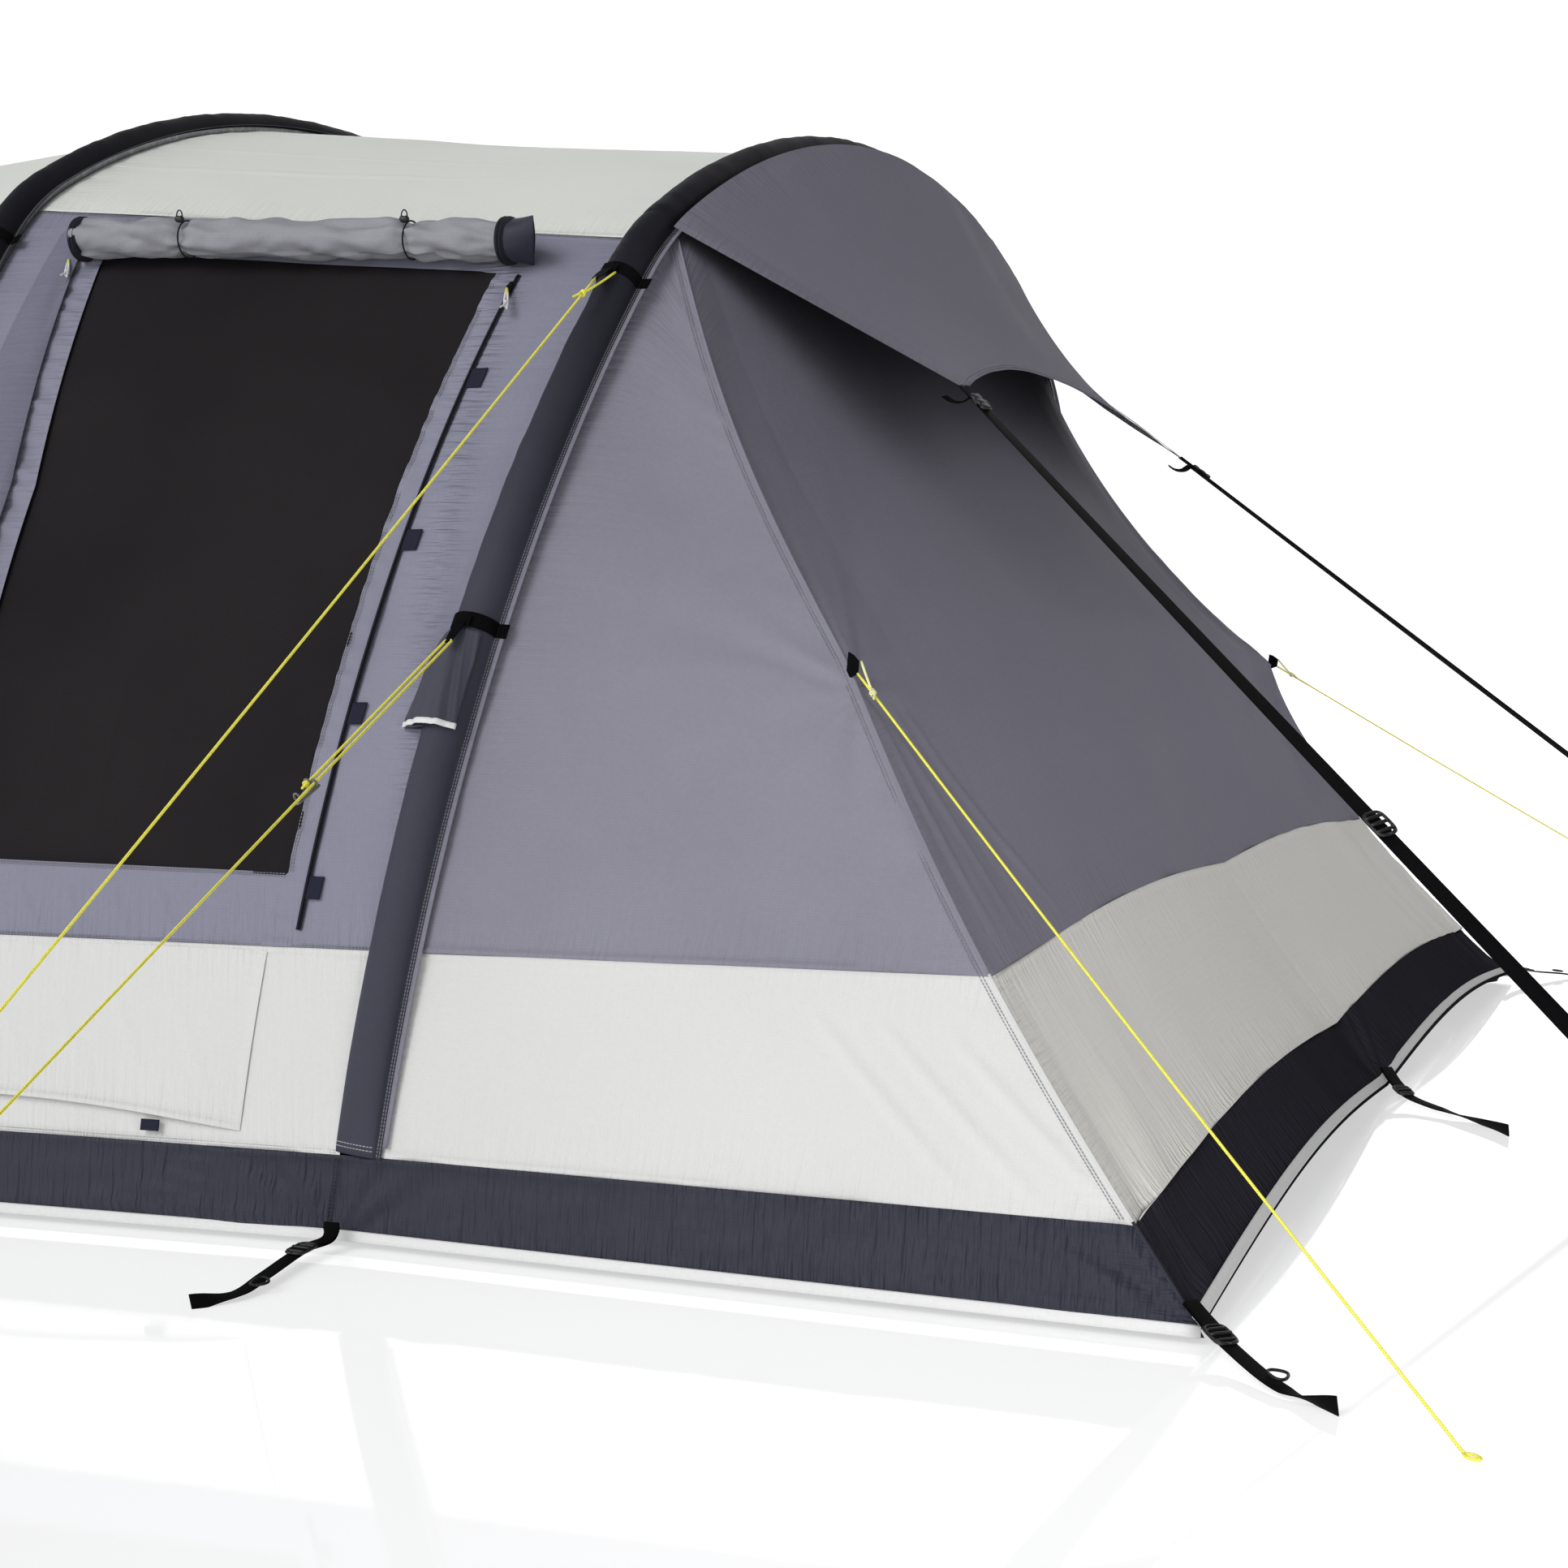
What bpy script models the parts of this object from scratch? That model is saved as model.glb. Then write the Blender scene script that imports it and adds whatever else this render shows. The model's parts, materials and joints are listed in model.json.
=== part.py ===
"""Tunnel tent held up by three air beams, with a sloped rear end under a strapped hood.

Metres, +Z up.  X runs along the tunnel towards the rear end, and the near wall faces -Y.
The origin is on the floor, on the centre line, under the middle beam.
"""
from math import asin, atan, cos, pi, radians, sin

import bmesh
import bpy
from mathutils import Matrix, Vector

# ---- driving dimensions -------------------------------------------------------------------
HALF_WIDTH = 1.80             # of the unit arch, at the ground
FOOT_LEAN = radians(8)        # how far the leg leans in at the ground
LEG_RADIUS = 3.10
LEG_END = radians(40)
SHOULDER_RADIUS = 0.56
SHOULDER_END = radians(57.5)

BAND_TOP = 0.135              # top of the dark band along the ground
LOWER_TOP = 0.434             # top of the light panels above it
EAVE = 1.64                   # height on the unit arch where wall meets roof
SKIRT = 0.012                 # the skin stops this far above the ground

SKIN = 0.003                  # fabric panels, as solids
SEAM_GAP = 0.002              # between panels that carry on in line
EDGE_GAP = 0.006              # where panels meet at an angle

BEAM_RADIUS = 0.030
SLEEVE_RADIUS = 0.036
SLEEVE_WALL = 0.003
SLEEVE_LIFT = 0.004           # sleeve's centre line, out from the skin
SKIN_EDGE = 0.044             # the skin stops this far from an arch's middle
SLEEVE_FOOT = 0.155           # height of the sleeve's sewn end

CORD_DIAMETER = 0.004
WEBBING_WIDTH = 0.025
WEBBING = 0.003
STRAP = 0.002                 # thickness of the hood's straps

WINDOW_SPAN = (0.168, 0.812)  # along the rear bay, as fractions of it
WINDOW_SILL = 0.552
WINDOW_HEAD = 1.555           # on the unit arch
ZIP_PLACES = {"front": 0.145, "rear": 0.848}
ZIP_LOW = 0.46

VALVE_HEIGHT = 0.50
VALVE_RADIUS = 0.011

# ---- arches: place on the floor, lean along X per metre of height, and size ----------------
ARCHES = {
    "front": {"x": -1.75, "lean": -0.06, "scale": 1.090},
    "middle": {"x": 0.37, "lean": -0.17, "scale": 1.090},
    "rear": {"x": 1.33, "lean": 0.06, "scale": 0.985},
}

# ---- rear end -------------------------------------------------------------------------------
END_X = 1.34                                           # the end's points are placed from here
END_GAP = 0.048                                        # from the arch's middle to the end's edge
SEAM_TOP = 1.61                                        # height where the end seam leaves the arch
GUY_POINT = Vector((END_X + 0.633, 1.377, 0.866))      # on the end seam, far side
END_CORNER = Vector((END_X + 1.246, 1.635, 0.02))
SEAM_SAG = 0.035
END_PULL = 0.046                                       # mid peg point, in from the corners' line
SCALLOP = 0.045                                        # rise of the end's lower edge
HOOD_CORNER = Vector((END_X + 0.569, 0.73, 1.354))
HOOD_EDGE_RISE = Vector((-0.084, 0, 0.111))            # middle of the hood's edge, from its corners
HOOD_LIFT = 0.018

# ---- pegs and other fixed points --------------------------------------------------------------
STRAP_PEG = Vector((END_X + 2.149, 1.797, 0.004))
SIDE_PEG = Vector((END_X + 0.05, -3.056, 0.003))
CORNER_PEG_NEAR = Vector((END_X + 1.599, -1.861, 0.003))
CORNER_PEG_FAR = Vector((END_X + 2.018, 1.861, 0.003))

NEAR, FAR = -1, 1
SIDES = {"near": NEAR, "far": FAR}


def lerp(a, b, t):
    return a + (b - a) * t


def spread(a, b, count):
    """count + 1 even steps from a to b."""
    return [lerp(a, b, i / count) for i in range(count + 1)]


# ---- the arch's shape: leg, shoulder and roof arcs, each tangent to the next -------------------
LEG_TOP = (
    HALF_WIDTH - LEG_RADIUS * (cos(FOOT_LEAN) - cos(LEG_END)),
    LEG_RADIUS * (sin(LEG_END) - sin(FOOT_LEAN)),
)
SHOULDER_TOP = (
    LEG_TOP[0] - SHOULDER_RADIUS * (cos(LEG_END) - cos(SHOULDER_END)),
    LEG_TOP[1] + SHOULDER_RADIUS * (sin(SHOULDER_END) - sin(LEG_END)),
)
ROOF_RADIUS = SHOULDER_TOP[0] / cos(SHOULDER_END)


def arch_point(angle):
    """Half width and height of the unit arch where its tangent leans in by angle."""
    if angle <= LEG_END:
        (y, z), radius, start = (HALF_WIDTH, 0.0), LEG_RADIUS, FOOT_LEAN
    elif angle <= SHOULDER_END:
        (y, z), radius, start = LEG_TOP, SHOULDER_RADIUS, LEG_END
    else:
        (y, z), radius, start = SHOULDER_TOP, ROOF_RADIUS, SHOULDER_END
    return y - radius * (cos(start) - cos(angle)), z + radius * (sin(angle) - sin(start))


def arch_angle(height):
    """The lean of the unit arch's tangent at this height."""
    if height <= LEG_TOP[1]:
        return asin(height / LEG_RADIUS + sin(FOOT_LEAN))
    if height <= SHOULDER_TOP[1]:
        return asin((height - LEG_TOP[1]) / SHOULDER_RADIUS + sin(LEG_END))
    return asin(min(1.0, (height - SHOULDER_TOP[1]) / ROOF_RADIUS + sin(SHOULDER_END)))


def arch_angles(low, legs, shoulders, roofs):
    """Angles from the height low up to the top, closer together round the shoulder."""
    steps = spread(arch_angle(low), LEG_END, legs)[:-1]
    steps += spread(LEG_END, SHOULDER_END, shoulders)[:-1]
    return steps + spread(SHOULDER_END, pi / 2, roofs)


def on_arch(x, lean, scale, angle, side, lift=0.0):
    """A point on an arch, or lift outside it."""
    y, z = arch_point(angle)
    y = y * scale + lift * cos(angle)
    z = z * scale + lift * sin(angle)
    return Vector((x + lean * z, side * y, z))


def bay_point(bay, v, angle, side, lift=0.0):
    """A point on the skin between two arches, v of the way from the first to the second."""
    a, b = (ARCHES[name] for name in bay)
    values = [lerp(a[key], b[key], v) for key in ("x", "lean", "scale")]
    return on_arch(*values, angle, side, lift)


def bay_scale(bay, v):
    return lerp(ARCHES[bay[0]]["scale"], ARCHES[bay[1]]["scale"], v)


def wall_point(bay, v, height, side, lift=0.0):
    """A point on the skin at this height above the ground."""
    return bay_point(bay, v, arch_angle(height / bay_scale(bay, v)), side, lift)


FRONT_BAY = ("front", "middle")
REAR_BAY = ("middle", "rear")


def rear_arch_point(height, side, lift=0.0):
    return wall_point(REAR_BAY, 1.0, height, side, lift)


# ---- the rear end's shape --------------------------------------------------------------------
def seam_point(height, side):
    """The seam between the side and the end wall, pulled out at its guy point."""
    top = rear_arch_point(SEAM_TOP, FAR) + Vector((END_GAP, -0.012, 0))
    if height > GUY_POINT.z:
        t = (top.z - height) / (top.z - GUY_POINT.z)
        point = lerp(top, GUY_POINT, t)
    else:
        t = (GUY_POINT.z - height) / (GUY_POINT.z - END_CORNER.z)
        point = lerp(GUY_POINT, END_CORNER, t)
    point = point - Vector((SEAM_SAG, 0, 0)) * sin(pi * min(max(t, 0), 1))
    return Vector((point.x, side * point.y, height))


def side_end_point(height, t, side):
    """The triangular side of the rear end, t of the way from the arch to the seam."""
    return lerp(rear_arch_point(height, side), seam_point(height, side), t)


def end_top_point(s, lift=0.0, reach=END_GAP):
    """The end wall's upper edge: the arch above the seams, s from -1 near to 1 far."""
    arch = ARCHES["rear"]
    angle = lerp(pi / 2, arch_angle(SEAM_TOP / arch["scale"]), abs(s))
    side = NEAR if s < 0 else FAR
    return on_arch(arch["x"], arch["lean"], arch["scale"], angle, side, lift) + Vector((reach, 0, 0))


def end_low_point(s):
    """The end wall's lower edge, pegged at both corners and in the middle."""
    x = END_CORNER.x - END_PULL * (1 - abs(s))
    return Vector((x, s * END_CORNER.y, END_CORNER.z + SCALLOP * abs(sin(pi * s))))


def end_wall_point(s, t):
    """The end wall, t of the way down, s from -1 at the near seam to 1 at the far one."""
    height = lerp(SEAM_TOP, END_CORNER.z, t)
    across = (s + 1) / 2
    point = lerp(seam_point(height, NEAR), seam_point(height, FAR), across)
    top = end_top_point(s) - lerp(end_top_point(-1), end_top_point(1), across)
    low = end_low_point(s) - lerp(end_low_point(-1), end_low_point(1), across)
    return point + top * (1 - t) ** 2 + low * t**2


def end_fraction(height):
    """How far down the end wall a height at its seams is."""
    return (SEAM_TOP - height) / (SEAM_TOP - END_CORNER.z)


def hood_point(s, t):
    """The hood, from the arch out to its scalloped edge."""
    edge = Vector((HOOD_CORNER.x, s * HOOD_CORNER.y, HOOD_CORNER.z)) + HOOD_EDGE_RISE * (1 - s * s)
    return lerp(end_top_point(s, HOOD_LIFT, END_GAP + 0.004), edge, t)


# ---- making objects ---------------------------------------------------------------------------
for old in list(bpy.data.objects):
    bpy.data.objects.remove(old, do_unlink=True)


def collection(name):
    made = bpy.data.collections.new(name)
    bpy.context.scene.collection.children.link(made)
    return made


TENT = collection("tunnel_tent")
CUTTERS = collection("cutters")

FINISHES = {
    "roof_fabric": ((0.60, 0.62, 0.57), 0.62, 0.0),
    "wall_fabric": ((0.22, 0.22, 0.30), 0.62, 0.0),
    "end_fabric": ((0.12, 0.115, 0.14), 0.62, 0.0),
    "light_fabric": ((0.74, 0.74, 0.72), 0.60, 0.0),
    "dark_fabric": ((0.045, 0.05, 0.07), 0.62, 0.0),
    "sleeve_fabric": ((0.018, 0.018, 0.023), 0.70, 0.0),
    "window_mesh": ((0.016, 0.014, 0.016), 0.55, 0.0),
    "groundsheet_fabric": ((0.10, 0.11, 0.13), 0.65, 0.0),
    "air_beam_film": ((0.55, 0.56, 0.58), 0.35, 0.0),
    "webbing": ((0.011, 0.011, 0.013), 0.80, 0.0),
    "guyline_cord": ((0.85, 0.80, 0.10), 0.55, 0.0),
    "black_plastic": ((0.014, 0.014, 0.015), 0.40, 0.0),
    "grey_plastic": ((0.16, 0.16, 0.15), 0.45, 0.0),
}


def material(slot):
    """The finish for a slot, made once."""
    made = bpy.data.materials.get(slot)
    if made is None:
        colour, roughness, metallic = FINISHES[slot]
        made = bpy.data.materials.new(slot)
        made.use_nodes = True
        shader = made.node_tree.nodes["Principled BSDF"]
        shader.inputs["Base Color"].default_value = (*colour, 1)
        shader.inputs["Roughness"].default_value = roughness
        shader.inputs["Metallic"].default_value = metallic
    return made


def add(name, data, slot, group=TENT):
    thing = bpy.data.objects.new(name, data)
    group.objects.link(thing)
    if slot:
        data.materials.append(material(slot))
    return thing


def solidify(thing, thickness, offset=0.0):
    shell = thing.modifiers.new("thickness", "SOLIDIFY")
    shell.thickness = thickness
    shell.offset = offset
    shell.use_even_offset = True


def panel(name, slot, rows, thickness=SKIN, hole=None):
    """A fabric panel lofted through rows of points; hole says which cells are left open."""
    mesh = bpy.data.meshes.new(name)
    bm = bmesh.new()
    grid = [[bm.verts.new(point) for point in row] for row in rows]
    for i in range(len(grid) - 1):
        for j in range(len(grid[i]) - 1):
            if not (hole and hole(i, j)):
                bm.faces.new((grid[i][j], grid[i][j + 1], grid[i + 1][j + 1], grid[i + 1][j]))
    bmesh.ops.recalc_face_normals(bm, faces=bm.faces)
    bm.to_mesh(mesh)
    bm.free()
    thing = add(name, mesh, slot)
    solidify(thing, thickness)
    return thing


def tube(name, slot, points, radius, sides=3, caps=True, group=TENT):
    """A round tube through points, as a poly curve."""
    curve = bpy.data.curves.new(name, "CURVE")
    curve.dimensions = "3D"
    curve.bevel_depth = radius
    curve.bevel_resolution = sides
    curve.use_fill_caps = caps
    line = curve.splines.new("POLY")
    line.points.add(len(points) - 1)
    for place, point in zip(line.points, points, strict=True):
        place.co = (*point, 1)
    return add(name, curve, slot, group)


def as_mesh(thing):
    """Swap a curve object for the mesh it draws, so that it can be cut."""
    bpy.context.view_layer.update()
    graph = bpy.context.evaluated_depsgraph_get()
    mesh = bpy.data.meshes.new_from_object(thing.evaluated_get(graph))
    name, group = thing.name, thing.users_collection[0]
    bpy.data.objects.remove(thing, do_unlink=True)
    made = bpy.data.objects.new(name, mesh)
    group.objects.link(made)
    weld = made.modifiers.new("weld", "WELD")
    weld.merge_threshold = 0.00005
    return made


def box(name, slot, size, place=None, group=TENT):
    """A box of this size, turned and moved by place."""
    mesh = bpy.data.meshes.new(name)
    bm = bmesh.new()
    bmesh.ops.create_cube(bm, size=1.0, matrix=Matrix.Diagonal((*size, 1)))
    bm.to_mesh(mesh)
    bm.free()
    thing = add(name, mesh, slot, group)
    thing.matrix_world = place or Matrix()
    return thing


def cylinder(name, slot, radius, depth, place, sides=16, group=TENT):
    mesh = bpy.data.meshes.new(name)
    bm = bmesh.new()
    bmesh.ops.create_cone(
        bm, cap_ends=True, segments=sides, radius1=radius, radius2=radius, depth=depth
    )
    bm.to_mesh(mesh)
    bm.free()
    thing = add(name, mesh, slot, group)
    thing.matrix_world = place
    return thing


def outline(name, slot, points, thickness, place):
    """A flat outline in XY, thick along Z."""
    curve = bpy.data.curves.new(name, "CURVE")
    curve.dimensions = "2D"
    curve.fill_mode = "BOTH"
    curve.extrude = thickness / 2
    line = curve.splines.new("POLY")
    line.points.add(len(points) - 1)
    for spot, (x, y) in zip(line.points, points, strict=True):
        spot.co = (x, y, 0, 1)
    line.use_cyclic_u = True
    thing = add(name, curve, slot)
    thing.matrix_world = place
    return thing


def boolean(thing, other, operation):
    cut = thing.modifiers.new("boolean", "BOOLEAN")
    cut.operation = operation
    cut.solver = "EXACT"
    cut.object = other
    other.hide_render = True
    other.display_type = "WIRE"


def aligned(point, along, up):
    """A placement at point whose X runs along and whose Z is as near up as it can be."""
    x = Vector(along).normalized()
    y = Vector(up).cross(x).normalized()
    z = x.cross(y)
    return Matrix.Translation(point) @ Matrix((x, y, z)).transposed().to_4x4()


def wall_frame(bay, v, height, side, lift):
    """A placement on the wall: X along the tunnel, Y up the wall, Z out of it."""
    point = wall_point(bay, v, height, side, lift)
    up = (wall_point(bay, v, height + 0.01, side, lift) - point).normalized()
    out = (wall_point(bay, v, height, side, lift + 0.01) - point).normalized()
    turned = Matrix((up.cross(out).normalized(), up, out)).transposed()
    return Matrix.Translation(point) @ turned.to_4x4()


# ---- air beams, their sleeves and valves -----------------------------------------------------
def arch_line(arch, low, lift):
    """Points over an arch from near foot to far foot, lift outside the skin."""
    shape = ARCHES[arch]
    angles = arch_angles(low / shape["scale"], 10, 5, 8)
    places = [(NEAR, angle) for angle in angles] + [(FAR, angle) for angle in angles[-2::-1]]
    return [on_arch(shape["x"], shape["lean"], shape["scale"], a, side, lift) for side, a in places]


def make_beam(arch):
    bay, v = (FRONT_BAY, 0.0) if arch == "front" else (REAR_BAY, 0.0 if arch == "middle" else 1.0)
    valve = wall_frame(bay, v, VALVE_HEIGHT, FAR, SLEEVE_LIFT)
    inner = 0.015
    boss_length = SLEEVE_RADIUS + 0.006 - inner
    boss = valve @ Matrix.Translation((0, 0, inner + boss_length / 2))

    line = arch_line(arch, SLEEVE_FOOT, SLEEVE_LIFT)
    beam = as_mesh(tube(f"air_beam_{arch}", "air_beam_film", line, BEAM_RADIUS))
    stem = cylinder(f"valve_stem_{arch}", None, VALVE_RADIUS, boss_length, boss, group=CUTTERS)
    boolean(beam, stem, "UNION")

    sleeve = as_mesh(tube(f"sleeve_{arch}", "sleeve_fabric", line, SLEEVE_RADIUS, caps=False))
    solidify(sleeve, SLEEVE_WALL, -1.0)
    hole_at = valve @ Matrix.Translation((0, 0, SLEEVE_RADIUS))
    hole = cylinder(f"valve_hole_{arch}", None, VALVE_RADIUS + 0.004, 0.03, hole_at, group=CUTTERS)
    boolean(sleeve, hole, "DIFFERENCE")

    cap_at = valve @ Matrix.Translation((0, 0, SLEEVE_RADIUS + 0.006 + 0.0003 + 0.006))
    cylinder(f"valve_cap_{arch}", "grey_plastic", 0.017, 0.012, cap_at, sides=12)


# ---- tunnel skin -----------------------------------------------------------------------------
def bay_columns(bay, height, count):
    """Even places across a bay, clear of the sleeve at each end."""
    a, b = (ARCHES[name] for name in bay)
    edge = SKIN_EDGE / (b["x"] + b["lean"] * height - a["x"] - a["lean"] * height)
    return spread(edge, 1 - edge, count)


def make_roof(name, bay):
    eave = arch_angle(EAVE) + SEAM_GAP / SHOULDER_RADIUS
    angles = spread(eave, SHOULDER_END, 2)[:-1] + spread(SHOULDER_END, pi / 2, 5)
    places = [(NEAR, a) for a in angles] + [(FAR, a) for a in angles[-2::-1]]
    rows = []
    for side, angle in places:
        columns = bay_columns(bay, arch_point(angle)[1], 2)
        rows.append([bay_point(bay, v, angle, side) for v in columns])
    panel(name, "roof_fabric", rows)


def wall_heights(scale):
    """Heights of a wall panel's rows: the window's sill and head are among them."""
    return [LOWER_TOP + SEAM_GAP] + spread(WINDOW_SILL, WINDOW_HEAD * scale, 6) + [EAVE * scale]


def make_wall(name, bay, side, inner=None, hole=None):
    """A wall panel; inner replaces its even inner columns."""
    rows = []
    for k, height in enumerate(wall_heights(1)):
        columns = bay_columns(bay, height, 3)
        if inner:
            columns = [columns[0], *inner, columns[-1]]
        rows.append([wall_point(bay, v, wall_heights(bay_scale(bay, v))[k], side) for v in columns])
    panel(name, "wall_fabric", rows, hole=hole)


def make_window():
    low, high = WINDOW_SPAN
    margin = 0.003
    rows = []
    for t in spread(0, 1, 6):
        row = []
        for v in spread(low + margin, high - margin, 2):
            head = WINDOW_HEAD * bay_scale(REAR_BAY, v) - margin
            row.append(wall_point(REAR_BAY, v, lerp(WINDOW_SILL + margin, head, t), NEAR))
        rows.append(row)
    panel("window_near", "window_mesh", rows)


def make_lower_panel(name, bay, side):
    heights = spread(BAND_TOP + SEAM_GAP, LOWER_TOP, 2)
    rows = [[wall_point(bay, v, h, side) for v in bay_columns(bay, h, 3)] for h in heights]
    panel(name, "light_fabric", rows)


def make_ground_band(name, side):
    """The dark band along the whole side, from the front arch to the rear corner."""
    rows = []
    for height in (SKIRT, BAND_TOP):
        row = [wall_point(FRONT_BAY, v, height, side) for v in spread(0.003, 1, 3)]
        row += [wall_point(REAR_BAY, v, height, side) for v in spread(0, 1, 3)[1:]]
        row += [side_end_point(height, t, side) for t in spread(0, 1 - EDGE_GAP, 4)[1:]]
        rows.append(row)
    panel(name, "dark_fabric", rows)


def make_skin():
    make_roof("roof_front_bay", FRONT_BAY)
    make_roof("roof_rear_bay", REAR_BAY)
    low, high = WINDOW_SPAN
    for side_name, side in SIDES.items():
        make_wall(f"wall_front_bay_{side_name}", FRONT_BAY, side)
        make_lower_panel(f"lower_front_bay_{side_name}", FRONT_BAY, side)
        make_lower_panel(f"lower_rear_bay_{side_name}", REAR_BAY, side)
        make_ground_band(f"ground_band_{side_name}", side)
    inner = (low, (low + high) / 2, high)
    make_wall("wall_rear_bay_near", REAR_BAY, NEAR, inner, lambda i, j: 0 < i < 7 and j in (1, 2))
    make_wall("wall_rear_bay_far", REAR_BAY, FAR)


# ---- rear end --------------------------------------------------------------------------------
def make_rear_end():
    for side_name, side in SIDES.items():
        for name, slot, low, high, steps in (
            ("end_side", "end_fabric", LOWER_TOP + SEAM_GAP, SEAM_TOP - 0.03, 8),
            ("end_lower_side", "light_fabric", BAND_TOP + SEAM_GAP, LOWER_TOP, 2),
        ):
            rows = []
            for height in spread(low, high, steps):
                long = (seam_point(height, side) - rear_arch_point(height, side)).length
                places = spread(SKIN_EDGE / long, 1 - EDGE_GAP / long, 3)
                rows.append([side_end_point(height, t, side) for t in places])
            panel(f"{name}_{side_name}", slot, rows)

    across = spread(-1 + 0.005, 1 - 0.005, 12)
    for name, slot, low, high, steps in (
        ("end_wall", "end_fabric", LOWER_TOP + SEAM_GAP, SEAM_TOP - 0.01, 7),
        ("end_lower_rear", "light_fabric", BAND_TOP + SEAM_GAP, LOWER_TOP, 2),
        ("ground_band_rear", "dark_fabric", END_CORNER.z, BAND_TOP, 1),
    ):
        heights = spread(high, low, steps)
        rows = [[end_wall_point(s, end_fraction(height)) for s in across] for height in heights]
        panel(name, slot, rows)

    rows = [[hood_point(s, t) for s in spread(-1, 1, 12)] for t in spread(0, 1, 4)]
    panel("hood", "end_fabric", rows)


# ---- front wall and door ------------------------------------------------------------------------
DOOR_HALF_WIDTH = 0.55
DOOR_TOP = 1.72
DOOR_CORNER = 0.28
FRONT_INSET = 0.048           # the front wall stops inside the front sleeve
FRONT = ARCHES["front"]
FRONT_TILT = atan(FRONT["lean"])
FRONT_PLACE = (
    Matrix.Translation((FRONT["x"] - 0.006, 0, 0))
    @ Matrix.Rotation(FRONT_TILT, 4, "Y")
    @ Matrix.Rotation(pi / 2, 4, "Z")
    @ Matrix.Rotation(pi / 2, 4, "X")
)


def arch_outline(low, inset):
    """The front arch's outline above the height low, in across and up coordinates."""
    scale = FRONT["scale"]
    half = []
    for angle in arch_angles(low / scale, 6, 4, 6):
        y, z = arch_point(angle)
        half.append((y * scale - inset * cos(angle), z * scale - inset * sin(angle)))
    half[0] = (half[0][0], low)
    return half + [(-y, z) for y, z in half[-2::-1]]


def door_outline(inset):
    """A doorway with two round upper corners."""
    wide, top, radius = DOOR_HALF_WIDTH - inset, DOOR_TOP - inset, DOOR_CORNER
    turn = spread(0, pi / 2, 5)
    right = [(wide - radius + radius * cos(a), top - radius + radius * sin(a)) for a in turn]
    low = BAND_TOP + SEAM_GAP + inset
    return [(wide, low)] + right + [(-y, z) for y, z in reversed(right)] + [(-wide, low)]


def make_front():
    doorway = door_outline(0)
    doorway[0] = (doorway[0][0], BAND_TOP - 0.02)
    doorway[-1] = (doorway[-1][0], BAND_TOP - 0.02)
    edge = arch_outline(BAND_TOP + SEAM_GAP, FRONT_INSET)
    wall = as_mesh(outline("front_wall", "wall_fabric", edge, SKIN, FRONT_PLACE))
    wall.matrix_world = FRONT_PLACE
    cutter = as_mesh(outline("doorway", None, doorway, 0.05, FRONT_PLACE))
    cutter.matrix_world = FRONT_PLACE
    TENT.objects.unlink(cutter)
    CUTTERS.objects.link(cutter)
    boolean(wall, cutter, "DIFFERENCE")
    outline("front_door", "wall_fabric", door_outline(0.005), SKIN, FRONT_PLACE)
    scale = FRONT["scale"]
    foot = arch_point(arch_angle(SKIRT / scale))[0] * scale - 0.004
    top = arch_point(arch_angle(BAND_TOP / scale))[0] * scale - 0.004
    band = [(foot, SKIRT), (top, BAND_TOP), (-top, BAND_TOP), (-foot, SKIRT)]
    outline("ground_band_front", "dark_fabric", band, SKIN, FRONT_PLACE)


# ---- groundsheet -----------------------------------------------------------------------------
def make_groundsheet():
    inset = 0.015
    half = [
        (ARCHES[name]["x"] + shift, HALF_WIDTH * ARCHES[name]["scale"] - inset)
        for name, shift in (("front", inset), ("middle", 0), ("rear", 0))
    ]
    half += [(END_CORNER.x - inset, END_CORNER.y - inset)]
    middle = [(END_CORNER.x - END_PULL - inset, 0)]
    points = half + middle + [(x, -y) for x, y in reversed(half)]
    thickness = 0.006
    place = Matrix.Translation((0, 0, thickness / 2))
    outline("groundsheet", "groundsheet_fabric", points, thickness, place)


# ---- window blind and zips ---------------------------------------------------------------------
BLIND_RADIUS = 0.038
BLIND_HEIGHT = 1.548          # on the unit arch
ZIP_WIDTH = 0.014
ZIP_LIFT = 0.0035


def make_blind():
    low, high = WINDOW_SPAN
    line = [
        wall_point(REAR_BAY, v, BLIND_HEIGHT * bay_scale(REAR_BAY, v), NEAR, BLIND_RADIUS + 0.006)
        for v in spread(low, high + 0.01, 4)
    ]
    tube("rolled_blind", "wall_fabric", line, BLIND_RADIUS)


def zip_top(place):
    return (WINDOW_HEAD - 0.012) * bay_scale(REAR_BAY, place)


def make_zips():
    for name, place in ZIP_PLACES.items():
        half = ZIP_WIDTH / 2 / (ARCHES["rear"]["x"] - ARCHES["middle"]["x"])
        rows = [
            [wall_point(REAR_BAY, v, height, NEAR, ZIP_LIFT) for v in (place - half, place + half)]
            for height in spread(ZIP_LOW, zip_top(place), 10)
        ]
        panel(f"zip_{name}", "black_plastic", rows, thickness=0.002)
        at = wall_frame(REAR_BAY, place, zip_top(place) - 0.03, NEAR, ZIP_LIFT + 0.001 + 0.0015 + 0.004)
        box(f"zip_slider_{name}", "black_plastic", (0.012, 0.030, 0.008), at)


# ---- webbing, pocket and peg straps --------------------------------------------------------------
GUY_BAND_HEIGHTS = {"upper": 1.515, "middle": 0.92}
CORD_DROPS = {"upper": 0.040, "middle": 0.045}   # from each band down to its cord's start


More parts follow.
